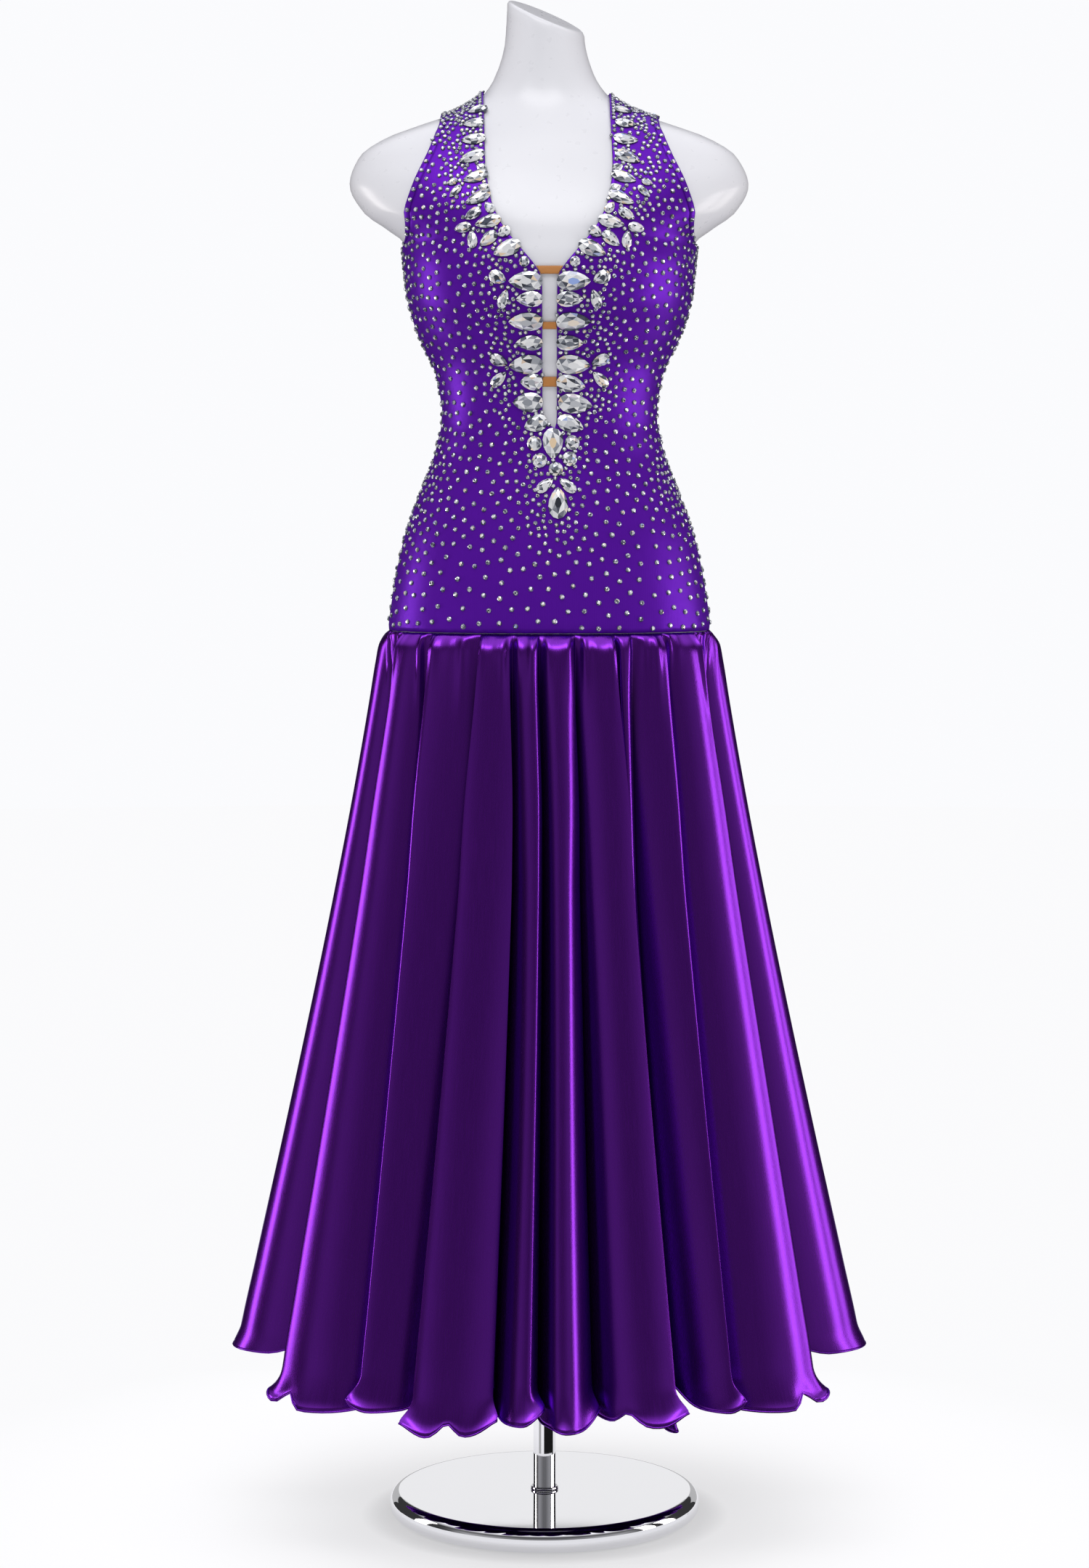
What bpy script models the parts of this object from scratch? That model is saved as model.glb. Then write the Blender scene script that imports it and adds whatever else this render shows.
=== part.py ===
"""A V-neck ballroom gown on a limbless dress form with a chrome pole and base.

Metres, +Z up. The origin is the centre of the base's underside, the gown's front
faces -Y, and +X is to the right of someone who looks at the front.

The form is a stack of flattened rings. The bodice is cloth laid on the form:
each of its points is a point of the form moved out along the form's normal.
The skirt is a cone of flutes that hangs from the bodice's lower edge.
"""

import math

import bmesh
import bpy
import numpy as np
from mathutils import Vector

# The stand
BASE_RADIUS = 0.160
BASE_FLAT_RADIUS = 0.148
BASE_HEIGHT = 0.025
BASE_TOP_ROUND = 0.011
BASE_ROUND_STEPS = 4
BASE_LOWER_RIM = (0.0005, 0.0090)
BASE_CHAMFER = (0.0050, 0.0025)
BASE_STEPS = 44
POLE_RADIUS = 0.0116
POLE_SIDES = 20
RING_RADIUS = 0.0142
RING_HEIGHT = 0.0030
RING_EDGE = (0.0008, 0.0010)

# The gown and the form stand a little to the right of the pole
GOWN_X = 0.005
NECK_LEAN = -0.0045

# Clearances and cloth
TOUCH = 0.0003
SEAM_GAP = 0.0006
SKIRT_SEAM_GAP = 0.0013
FORM_GAP = 0.0019
JERSEY = 0.0015
SATIN = 0.0014
ELASTIC = 0.0011

# Heights that the pieces share
FORM_BOTTOM = 0.800
NECK_RING_START = 1.478
SEAM_Z = 0.9145
UNDERARM_Z = 1.300
SHOULDER_CENTRE_Z = 1.335
SLIT_BOTTOM = 1.1167
HEM_Z = 0.160

# The form's rings: a ring is a superellipse with these half axes
FORM_COLUMNS = ("z", "side", "front", "back", "squareness")
FORM_RINGS = (
    (0.800, 0.128, 0.084, 0.094, 2.10),
    (0.830, 0.1500, 0.098, 0.113, 2.12),
    (0.880, 0.1600, 0.104, 0.122, 2.15),
    (0.915, 0.1598, 0.104, 0.121, 2.15),
    (0.960, 0.1541, 0.103, 0.116, 2.12),
    (1.005, 0.1445, 0.099, 0.105, 2.08),
    (1.050, 0.1287, 0.092, 0.092, 2.04),
    (1.095, 0.1121, 0.085, 0.083, 2.02),
    (1.132, 0.1054, 0.083, 0.079, 2.02),
    (1.170, 0.1108, 0.089, 0.080, 2.06),
    (1.215, 0.1303, 0.106, 0.085, 2.18),
    (1.250, 0.1403, 0.121, 0.091, 2.30),
    (1.278, 0.1433, 0.124, 0.097, 2.30),
    (1.303, 0.1460, 0.119, 0.101, 2.22),
    (1.318, 0.1640, 0.115, 0.102, 2.14),
    (1.334, 0.1865, 0.109, 0.103, 2.10),
    (1.362, 0.2010, 0.096, 0.100, 2.04),
    (1.390, 0.1900, 0.082, 0.088, 2.00),
    (1.408, 0.1640, 0.073, 0.078, 2.00),
    (1.421, 0.1290, 0.066, 0.070, 2.00),
    (1.434, 0.0900, 0.059, 0.061, 2.00),
    (1.450, 0.0640, 0.053, 0.055, 2.00),
    (1.475, 0.0480, 0.049, 0.051, 2.00),
    (1.505, 0.0400, 0.047, 0.050, 2.00),
    (1.560, 0.0370, 0.046, 0.049, 2.00),
)
FORM_HIP_LEVELS = (0.800, 0.808, 0.850, 0.900, 0.945, 0.980, 1.015, 1.050, 1.084,
                   1.110, 1.134, 1.160, 1.190, 1.220, 1.250, 1.278)
FORM_SHOULDER_LEVELS = (1.352, 1.372, 1.390, 1.406, 1.418, 1.427, 1.434, 1.441, 1.448,
                        1.456, 1.466)
FORM_SIDES = 28
FORM_BOTTOM_ROUND = 0.006
NECK_STEPS = 4
NECK_CUT_Z = 1.531
NECK_CUT_SLOPE_X = -0.42
NECK_CUT_SLOPE_Y = 0.22
NECK_EDGE_ROUND = 0.004

# The front's inner edge: half the width of the slit and of the V above it
V_COLUMNS = ("z", "half_width")
V_EDGE = (
    (SLIT_BOTTOM, 0.0),
    (1.1200, 0.0040),
    (1.1245, 0.0060),
    (1.1330, 0.0070),
    (1.2540, 0.0073),
    (1.2660, 0.0090),
    (1.2730, 0.0128),
    (1.2912, 0.0280),
    (1.3150, 0.0462),
    (1.3400, 0.0573),
    (1.3810, 0.0624),
    (1.4550, 0.0615),
)
SLIT_LEAN = 0.0052
SLIT_STRAIGHT_Z = 1.200
NECK_SHARE = 0.8
RIDGE_RADIUS = 0.100

# The armhole's edge, as degrees round from the front and then as a distance from the middle
ARMHOLE_LOW_COLUMNS = ("z", "degrees")
ARMHOLE_LOW = (
    (UNDERARM_Z, 90.0),
    (1.3035, 78.0),
    (1.3095, 68.0),
    (1.3170, 59.5),
    (1.3260, 52.5),
    (SHOULDER_CENTRE_Z, 48.0),
)
ARMHOLE_HIGH_COLUMNS = ("z", "x")
ARMHOLE_HIGH = (
    (SHOULDER_CENTRE_Z, 0.1415),
    (1.3590, 0.1330),
    (1.3890, 0.1190),
    (1.4050, 0.1125),
    (1.4160, 0.1084),
    (1.4600, 0.1060),
)
BODICE_FOOT_LEVELS = (SEAM_Z, 0.945, 0.980, 1.015, 1.050, 1.084)
SLIT_LEVELS = (SLIT_BOTTOM, 1.1200, 1.1245, 1.1330, 1.158, 1.184, 1.207, 1.226, 1.241,
               1.254, 1.266, 1.273, 1.282, 1.291)
BACK_LEVELS = (1.110, 1.134, 1.160, 1.190, 1.220, 1.250, 1.278)
ARMHOLE_LEVELS = (UNDERARM_Z, 1.3035, 1.3095, 1.317, 1.326, SHOULDER_CENTRE_Z)
SHOULDER_TURNS = (14.0, 28.0, 42.0, 54.0, 65.0, 75.0, 83.0, 90.0)
FRONT_COLUMNS = 8
BACK_COLUMNS = 18
STRAP_COLUMNS = 4
RING_SAMPLES = 48
NAPE_Z = 1.436

# The bridges across the slit
BRIDGE_COLUMNS = ("z", "height")
BRIDGES = (
    (1.2703, 0.0078),
    (1.2177, 0.0072),
    (1.1630, 0.0098),
)
BRIDGE_STEPS = 4

# The large crystals, in millimetres as seen from the front: the tip's direction is in
# degrees anticlockwise from +X, and a pair has a mirrored twin on the other side
CRYSTAL_COLUMNS = ("x", "z", "length", "width", "tip", "pair")
CRYSTALS = (
    (24.0, 1259.5, 31.0, 18.9, 0, True),
    (20.4, 1242.4, 25.4, 15.6, 0, True),
    (23.6, 1221.0, 32.0, 19.3, 0, True),
    (20.4, 1200.6, 25.4, 15.6, 0, True),
    (23.4, 1179.5, 31.4, 18.9, 0, True),
    (-18.9, 1163.6, 22.5, 15.6, 180, False),
    (20.8, 1160.5, 26.2, 15.6, -12, False),
    (-22.5, 1142.5, 29.8, 19.3, 180, False),
    (25.1, 1141.0, 34.9, 19.6, -5, False),
    (-14.9, 1121.4, 22.5, 16.7, 200, False),
    (20.5, 1121.0, 27.6, 16.7, -20, False),
    (50.5, 1262.4, 18.2, 10.9, 180, True),
    (44.7, 1242.4, 20.4, 10.2, 110, True),
    (50.5, 1183.9, 18.2, 10.9, 200, True),
    (50.5, 1165.0, 19.3, 10.2, 145, True),
    (3.3, 1101.8, 30.5, 20.4, 270, False),
    (-14.9, 1101.8, 14.5, 14.5, 90, False),
    (22.2, 1102.5, 14.5, 14.5, 90, False),
    (-9.8, 1085.0, 14.5, 14.5, 90, False),
    (19.3, 1087.3, 14.5, 14.5, 90, False),
    (6.2, 1076.3, 14.5, 14.5, 90, False),
    (-4.7, 1060.3, 20.4, 10.9, 40, False),
    (17.8, 1060.3, 20.4, 10.9, 140, False),
    (8.4, 1042.9, 31.6, 19.6, 90, False),
    (73.0, 1434.0, 17.0, 9.0, -20, True),
    (76.1, 1421.0, 22.0, 8.0, -10, True),
    (76.1, 1402.9, 22.0, 9.2, 0, True),
    (76.1, 1385.0, 25.0, 10.0, 30, True),
    (71.5, 1363.5, 21.0, 10.0, 25, True),
    (69.3, 1343.2, 20.0, 10.0, 35, True),
    (60.0, 1319.0, 22.0, 13.0, 15, True),
    (84.7, 1314.0, 14.6, 9.0, 0, True),
    (73.8, 1303.0, 17.0, 9.0, 100, True),
    (60.0, 1300.0, 17.0, 11.0, 150, True),
    (43.0, 1290.0, 24.0, 16.0, 25, True),
    (93.7, 1350.0, 14.6, 8.0, 130, True),
)
MILLIMETRE = 0.001
CRYSTAL_SIDES = 8
SMALL_CRYSTAL_SIDES = 6
SMALL_CRYSTAL = 0.0185
CRYSTAL_SINK = 0.0013
CRYSTAL_HEIGHT = 0.0042
CRYSTAL_TABLE = 0.58
DROP_WIDEST = 0.77

# The skirt's outer line at the side, crest to crest
SKIRT_COLUMNS = ("z", "side")
SKIRT_LINE = (
    (0.9139, 0.1632),
    (0.9100, 0.1668),
    (0.9000, 0.1735),
    (0.8850, 0.1766),
    (0.8400, 0.1840),
    (0.7500, 0.2000),
    (0.6300, 0.2235),
    (0.5100, 0.2487),
    (0.3900, 0.2750),
    (0.2700, 0.3020),
    (0.1850, 0.3200),
    (0.1500, 0.3240),
)
SKIRT_FRONT_GAIN = 1.17
SKIRT_BACK_GAIN = 1.08
SKIRT_STEPS = (0.0, 0.008, 0.024, 0.08, 0.20, 0.36, 0.53, 0.70, 0.85, 0.945, 1.0)
FLUTE_GROWTH = 0.70
FLUTE_SHARPNESS = 2.2
DEGREES_PER_COLUMN = 2.6
FEWEST_COLUMNS = 5
FEWEST_SEAM_COLUMNS = 3
SQUARE_STEP = 0.33
VALLEY_HEM_Z = 0.174
HEM_FLIP = 0.007
HEM_FLIP_SHARE = 0.06

# The flutes: each starts in a valley this many degrees round from the front, that lies
# this far inside the skirt's outer line at the hem. Its crest stands this far out of that
# line, and its hem is at this height
FLUTE_COLUMNS = ("start", "valley", "crest", "hem")
FLUTES = (
    (-98.0, 0.050, 0.000, 0.169),
    (-68.0, 0.070, 0.004, 0.158),
    (-40.5, 0.070, -0.006, 0.169),
    (-27.0, 0.055, 0.008, 0.153),
    (-8.8, 0.045, -0.012, 0.167),
    (-2.3, 0.050, 0.006, 0.161),
    (9.5, 0.055, 0.000, 0.163),
    (25.0, 0.050, -0.026, 0.150),
    (31.5, 0.060, -0.004, 0.167),
    (43.0, 0.070, 0.004, 0.159),
    (67.5, 0.070, 0.000, 0.169),
    (98.0, 0.055, -0.004, 0.166),
    (115.0, 0.065, 0.004, 0.160),
    (134.0, 0.060, -0.002, 0.167),
    (150.0, 0.050, 0.003, 0.158),
    (166.0, 0.065, -0.003, 0.165),
    (184.0, 0.055, 0.002, 0.159),
    (199.0, 0.060, -0.004, 0.168),
    (218.0, 0.065, 0.003, 0.161),
    (240.0, 0.055, 0.000, 0.166),
)


def column(table, names, name):
    """One named column of a table, as an array."""
    return np.array([row[names.index(name)] for row in table], dtype=float)


def records(table, names):
    """A table's rows with their columns' names."""
    return [dict(zip(names, row)) for row in table]


class Curve:
    """A smooth curve through a table's points that never overshoots them."""

    def __init__(self, xs, ys):
        self.xs = np.array(xs, dtype=float)
        self.ys = np.array(ys, dtype=float)
        steps = np.diff(self.xs)
        rises = np.diff(self.ys) / steps
        slopes = np.zeros(len(self.xs))
        slopes[0] = rises[0]
        slopes[-1] = rises[-1]
        for i in range(1, len(rises)):
            if rises[i - 1] * rises[i] > 0.0:
                first = 2.0 * steps[i] + steps[i - 1]
                second = steps[i] + 2.0 * steps[i - 1]
                slopes[i] = (first + second) / (first / rises[i - 1] + second / rises[i])
        self.slopes = slopes

    def at(self, x):
        x = min(max(x, self.xs[0]), self.xs[-1])
        i = int(np.clip(np.searchsorted(self.xs, x) - 1, 0, len(self.xs) - 2))
        step = self.xs[i + 1] - self.xs[i]
        t = (x - self.xs[i]) / step
        ease = t * t * (3.0 - 2.0 * t)
        leave = t * (1.0 - t) ** 2 * step * self.slopes[i]
        arrive = t * t * (t - 1.0) * step * self.slopes[i + 1]
        return self.ys[i] * (1.0 - ease) + self.ys[i + 1] * ease + leave + arrive


def table_curve(table, names, name):
    return Curve(column(table, names, names[0]), column(table, names, name))


FORM_SIDE = table_curve(FORM_RINGS, FORM_COLUMNS, "side")
FORM_FRONT = table_curve(FORM_RINGS, FORM_COLUMNS, "front")
FORM_BACK = table_curve(FORM_RINGS, FORM_COLUMNS, "back")
FORM_SQUARENESS = table_curve(FORM_RINGS, FORM_COLUMNS, "squareness")
V_HALF = table_curve(V_EDGE, V_COLUMNS, "half_width")
ARMHOLE_DEGREES = table_curve(ARMHOLE_LOW, ARMHOLE_LOW_COLUMNS, "degrees")
ARMHOLE_X = table_curve(ARMHOLE_HIGH, ARMHOLE_HIGH_COLUMNS, "x")
SKIRT_SIDE = table_curve(SKIRT_LINE[::-1], SKIRT_COLUMNS, "side")
FLUTE_STARTS = column(FLUTES, FLUTE_COLUMNS, "start")
FLUTE_VALLEYS = column(FLUTES, FLUTE_COLUMNS, "valley")
FLUTE_CRESTS = column(FLUTES, FLUTE_COLUMNS, "crest")
FLUTE_HEMS = column(FLUTES, FLUTE_COLUMNS, "hem")


def signed_power(value, power):
    return math.copysign(abs(value) ** power, value)


def neck_offset(z):
    """How far the form's middle line leans sideways at a height."""
    t = min(max((z - SHOULDER_CENTRE_Z) / (NECK_RING_START - SHOULDER_CENTRE_Z), 0.0), 1.0)
    return NECK_LEAN * t * t * (3.0 - 2.0 * t)


def form_ring_point(degrees, z, grow=0.0):
    """The form's point this many degrees round from the front, for each height."""
    angle = math.radians(degrees)
    power = 2.0 / FORM_SQUARENESS.at(z)
    depth = FORM_FRONT.at(z) if math.cos(angle) > 0.0 else FORM_BACK.at(z)
    x = (FORM_SIDE.at(z) + grow) * signed_power(math.sin(angle), power)
    y = -(depth + grow) * signed_power(math.cos(angle), power)
    return np.array((x + neck_offset(z), y, z))


def form_field(point):
    """Less than 1 inside the form, 1 on its surface and more outside it."""
    x, y, z = point
    depth = FORM_FRONT.at(z) if y < 0.0 else FORM_BACK.at(z)
    power = FORM_SQUARENESS.at(z)
    side = abs(x - neck_offset(z)) / FORM_SIDE.at(z)
    return side ** power + (abs(y) / depth) ** power


def form_normal(point, step=0.0004):
    """The form's outward direction at a point."""
    slopes = []
    for axis in range(3):
        nudge = np.zeros(3)
        nudge[axis] = step
        slopes.append(form_field(point + nudge) - form_field(point - nudge))
    slopes = np.array(slopes)
    return slopes / np.linalg.norm(slopes)


def moved_out(point, distance):
    return point + form_normal(point) * distance


def form_cast(start, direction, reach=0.25):
    """Where a ray from inside the form leaves it."""
    low, high = 0.0, reach
    for _ in range(40):
        middle = (low + high) / 2.0
        if form_field(start + direction * middle) < 1.0:
            low = middle
        else:
            high = middle
    return start + direction * high


def over_shoulder(x, turn, back):
    """The form's point over the shoulder: turn is 0 at the chest and 90 on the ridge."""
    side = 1.0 if back else -1.0
    angle = math.radians(turn)
    direction = np.array((0.0, side * math.cos(angle), math.sin(angle)))
    return form_cast(np.array((x, 0.0, SHOULDER_CENTRE_Z)), direction)


def front_point(x, z):
    """The form's front point seen from the front at x and z."""
    return form_cast(np.array((x, 0.0, z)), np.array((0.0, -1.0, 0.0)))


def slit_middle(z):
    """The slit's left edge closes in on its right one towards the lower end."""
    if z > SLIT_STRAIGHT_Z:
        return 0.0
    return SLIT_LEAN * (1.0 - V_HALF.at(z) / V_HALF.at(SLIT_STRAIGHT_Z))


def outer_degrees(z):
    """Where the bodice ends sideways, short of the side seam by half its gap."""
    edge = ARMHOLE_DEGREES.at(z) if z > UNDERARM_Z else 90.0
    seam = 90.0 - math.degrees(SEAM_GAP / 2.0 / FORM_FRONT.at(z))
    return min(edge, seam)


def x_to_degrees(x, z):
    share = min(abs(x) / FORM_SIDE.at(z), 1.0) ** (FORM_SQUARENESS.at(z) / 2.0)
    return math.copysign(math.degrees(math.asin(share)), x)


def armhole_x(turn, back):
    """The armhole edge's distance from the middle, found on the form."""
    x = ARMHOLE_HIGH[0][1]
    for _ in range(8):
        x = ARMHOLE_X.at(over_shoulder(x, turn, back)[2])
    return x


def v_x(turn, side):
    """The V edge's place on the chest, found on the form."""
    x = side * V_HALF.at(SHOULDER_CENTRE_Z)
    for _ in range(8):
        z = over_shoulder(x, turn, False)[2]
        x = side * V_HALF.at(z) + neck_offset(z) * NECK_SHARE
    return x


def seam_turn(turn):
    """Stops the shoulder edge half a seam gap short of the ridge."""
    return min(turn, 90.0 - math.degrees(SEAM_GAP / 2.0 / RIDGE_RADIUS))


def even_row(z, first, last, count):
    """Points along the form's ring between two angles, evenly spaced along the cloth."""
    degrees = [first + (last - first) * i / RING_SAMPLES for i in range(RING_SAMPLES + 1)]
    samples = np.array([form_ring_point(angle, z) for angle in degrees])
    lengths = np.concatenate(([0.0], np.cumsum(np.linalg.norm(np.diff(samples, axis=0), axis=1))))
    marks = np.linspace(0.0, lengths[-1], count + 1)
    return [form_ring_point(angle, z) for angle in np.interp(marks, lengths, degrees)]


def front_row(side, z):
    """The form's points of a half front's row, from the middle out to the side."""
    inner_x = slit_middle(z) + side * V_HALF.at(z) if z >= SLIT_BOTTOM else SLIT_LEAN
    return even_row(z, x_to_degrees(inner_x, z), side * outer_degrees(z), FRONT_COLUMNS)


def front_shoulder_row(side, turn):
    turn = seam_turn(turn)
    inner = v_x(turn, side)
    outer = side * armhole_x(turn, False)
    shares = [i / FRONT_COLUMNS for i in range(FRONT_COLUMNS + 1)]
    return [over_shoulder(inner + (outer - inner) * share, turn, False) for share in shares]


def back_row(z):
    """The form's points of the back's row, from the left side to the right one."""
    edge = outer_degrees(z)
    return even_row(z, 180.0 + edge, 180.0 - edge, BACK_COLUMNS)


def nape_turn(x):
    """How far over the shoulder the back reaches at x: to the ridge, or to the neck's hole."""
    ridge = over_shoulder(x, 90.0, True)[2]
    edge = v_x(90.0, math.copysign(1.0, x))
    share = x / edge
    if share >= 1.0:
        return 90.0
    top = NAPE_Z + (over_shoulder(edge, 90.0, True)[2] - NAPE_Z) * share * share
    low, high = 0.0, 90.0
    for _ in range(20):
        middle = (low + high) / 2.0
        if over_shoulder(x, middle, True)[2] < min(top, ridge):
            low = middle
        else:
            high = middle
    return high


def back_top_x(column_number):
    """Where a column of the back ends: evenly round the neck's hole, then along the shoulder."""
    side = math.copysign(1.0, column_number)
    neck_columns = BACK_COLUMNS / 2.0 - STRAP_COLUMNS
    neck = v_x(90.0, side)
    if abs(column_number) <= neck_columns:
        return neck * math.sin(math.radians(90.0 * abs(column_number) / neck_columns))
    share = (abs(column_number) - neck_columns) / STRAP_COLUMNS
    return neck + (side * armhole_x(seam_turn(90.0), True) - neck) * share


def back_shoulder_row(share_up):
    edge = armhole_x(seam_turn(90.0 * share_up), True)
    points = []
    for i in range(BACK_COLUMNS + 1):
        top = back_top_x(i - BACK_COLUMNS / 2.0)
        even = edge * (2.0 * i / BACK_COLUMNS - 1.0)
        x = even + (top - even) * share_up
        points.append(over_shoulder(x, seam_turn(nape_turn(top) * share_up), True))
    return points


def material(name, colour, roughness, metallic=0.0):
    made = bpy.data.materials.new(name)
    made.use_nodes = True
    shader = made.node_tree.nodes["Principled BSDF"]
    shader.inputs["Base Color"].default_value = (*colour, 1.0)
    shader.inputs["Roughness"].default_value = roughness
    shader.inputs["Metallic"].default_value = metallic
    return made


def place(name, mesh, collection, stuff, x=GOWN_X):
    """Makes an object of a mesh, at the gown's place unless told otherwise."""
    made = bpy.data.objects.new(name, mesh)
    collection.objects.link(made)
    mesh.materials.append(stuff)
    mesh.shade_smooth()
    made.location.x = x
    return made


def sheet_mesh(name, rows, closed=False, shared=None):
    """An open sheet through rows of points; shared joins points to ones already made."""
    mesh = bpy.data.meshes.new(name)
    form = bmesh.new()
    add_sheet(form, rows, closed, shared)
    form.to_mesh(mesh)
    form.free()
    return mesh


def add_sheet(form, rows, closed=False, shared=None, flipped=False):
    grid = []
    for k, row in enumerate(rows):
        made = []
        for i, point in enumerate(row):
            if shared and (k, i) in shared:
                made.append(shared[(k, i)])
            else:
                made.append(form.verts.new(point))
        grid.append(made)
    width = len(grid[0])
    last = width if closed else width - 1
    for below, above in zip(grid, grid[1:]):
        for i in range(last):
            j = (i + 1) % width
            corners = [below[i], below[j], above[j], above[i]]
            if flipped:
                corners.reverse()
            form.faces.new(corners)
    return grid


def solidify(made, thickness):
    shell = made.modifiers.new("wall", "SOLIDIFY")
    shell.thickness = thickness
    shell.offset = -1.0


def cloth_points(rows):
    """Moves rows of form points out to the bodice's outer face."""
    return [[moved_out(point, FORM_GAP + JERSEY) for point in row] for row in rows]


def build_form(collection, stuff):
    rings = []
    round_in = math.sin(math.radians(45.0)) * FORM_BOTTOM_ROUND
    for z in FORM_HIP_LEVELS + ARMHOLE_LEVELS + FORM_SHOULDER_LEVELS:
        grow = -round_in if z == FORM_BOTTOM else 0.0
        rings.append([form_ring_point(360.0 * i / FORM_SIDES, z, grow) for i in range(FORM_SIDES)])
    for step in range(1, NECK_STEPS + 1):
        share = step / NECK_STEPS
        rings.append([neck_point(360.0 * i / FORM_SIDES, share, 0.0) for i in range(FORM_SIDES)])
    rings.append([neck_point(360.0 * i / FORM_SIDES, 1.0, NECK_EDGE_ROUND) for i in range(FORM_SIDES)])
    form = bmesh.new()
    grid = add_sheet(form, rings, closed=True)
    form.faces.new(list(reversed(grid[0])))
    form.faces.new(grid[-1])
    mesh = bpy.data.meshes.new("form_torso")
    form.to_mesh(mesh)
    form.free()
    return place("form_torso", mesh, collection, stuff)


def neck_point(degrees, share, rounding):
    """A point of the neck, between its lowest level ring and its slanting cut."""
    start = FORM_SHOULDER_LEVELS[-1]
    point = form_ring_point(degrees, start)
    for _ in range(4):
        lean = point[0] - neck_offset(point[2])
        cut = NECK_CUT_Z + NECK_CUT_SLOPE_X * lean + NECK_CUT_SLOPE_Y * point[1]
        cut -= 0.0 if rounding else NECK_EDGE_ROUND
        point = form_ring_point(degrees, start + (cut - start) * share, -rounding)
    return point


def build_bodice_front(collection, stuff):
    levels = BODICE_FOOT_LEVELS + SLIT_LEVELS + ARMHOLE_LEVELS
    tip = levels.index(SLIT_BOTTOM)
    halves = {}
    for side in (1.0, -1.0):
        rows = [front_row(side, z) for z in levels]
        rows += [front_shoulder_row(side, turn) for turn in SHOULDER_TURNS]
        halves[side] = cloth_points(rows)
    form = bmesh.new()
    right = add_sheet(form, halves[1.0])
    shared = {(level, 0): right[level][0] for level in range(tip + 1)}
    add_sheet(form, halves[-1.0], shared=shared, flipped=True)
    mesh = bpy.data.meshes.new("bodice_front")
    form.to_mesh(mesh)
    form.free()
    made = place("bodice_front", mesh, collection, stuff)
    solidify(made, JERSEY)
    return made


def build_bodice_back(collection, stuff):
    rows = [back_row(z) for z in BODICE_FOOT_LEVELS + BACK_LEVELS + ARMHOLE_LEVELS]
    turns = [turn / 90.0 for turn in SHOULDER_TURNS]
    rows += [back_shoulder_row(share) for share in turns]
    mesh = sheet_mesh("bodice_back", cloth_points(rows)[::-1])
    made = place("bodice_back", mesh, collection, stuff)
    solidify(made, JERSEY)
    return made


def crystal_outline(length, width):
    """Steps along and across a crystal, round its edge; a long one is a drop with its tip ahead."""
    points = []
    sides = CRYSTAL_SIDES if length > SMALL_CRYSTAL else SMALL_CRYSTAL_SIDES
    for i in range(sides):
        angle = 2.0 * math.pi * i / sides
        spread = math.sin(angle)
        if length > width:
            spread *= math.sin(angle / 2.0) / DROP_WIDEST
        points.append((math.cos(angle) * length / 2.0, spread * width / 2.0))
    return points


def cloth_front(x, z, inset=0.0):
    """The bodice's outer face seen from the front at x and z, or this far inside it."""
    point = front_point(x, z)
    for _ in range(3):
        cloth = moved_out(point, FORM_GAP + JERSEY - inset)
        point = front_point(point[0] + x - cloth[0], point[2] + z - cloth[2])
    return Vector(moved_out(point, FORM_GAP + JERSEY - inset)), Vector(form_normal(point))


def add_crystal(form, crystal, mirrored):
    side = -1.0 if mirrored else 1.0
    centre, out = cloth_front(side * crystal["x"] * MILLIMETRE, crystal["z"] * MILLIMETRE)
    right = Vector((0.0, 0.0, 1.0)).cross(out).normalized()
    turn = math.radians(180.0 - crystal["tip"] if mirrored else crystal["tip"])
    along = right * math.cos(turn) + out.cross(right) * math.sin(turn)
    across = out.cross(along)
    outline = crystal_outline(crystal["length"] * MILLIMETRE, crystal["width"] * MILLIMETRE)
    steps = [along * u + across * v for u, v in outline]
    flat = [centre + step for step in steps]
    foot = [cloth_front(point.x, point.z, CRYSTAL_SINK)[0] for point in flat]
    table = [centre + step * CRYSTAL_TABLE + out * CRYSTAL_HEIGHT for step in steps]
    grid = add_sheet(form, [foot, table], closed=True)
    form.faces.new(list(reversed(grid[0])))
    form.faces.new(grid[-1])


def raise_crystals(bodice, cutters, stuff):
    """Joins the large crystals to the bodice's outer face."""
    form = bmesh.new()
    for crystal in records(CRYSTALS, CRYSTAL_COLUMNS):
        add_crystal(form, crystal, False)
        if crystal["pair"]:
            add_crystal(form, crystal, True)
    mesh = bpy.data.meshes.new("crystals")
    form.to_mesh(mesh)
    form.free()
    crystals = place("crystals", mesh, cutters, stuff)
    crystals.hide_render = True
    crystals.display_type = "WIRE"
    union = bodice.modifiers.new("crystals", "BOOLEAN")
    union.operation = "UNION"
    union.object = crystals
    union.use_self = True


def build_bridge(number, bridge, collection, stuff):
    """A short elastic bar between the slit's edges."""
    rows = []
    for up in (-0.5, 0.5):
        level = bridge["z"] + up * bridge["height"]
        reach = V_HALF.at(level) - TOUCH * 1.5
        points = []
        for i in range(BRIDGE_STEPS + 1):
            x = slit_middle(level) + reach * (2.0 * i / BRIDGE_STEPS - 1.0)
            points.append(moved_out(front_point(x, level), FORM_GAP + ELASTIC))
        rows.append(points)
    name = f"bridge_bar_{number}"
    made = place(name, sheet_mesh(name, rows), collection, stuff)
    solidify(made, ELASTIC)
    return made


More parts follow.
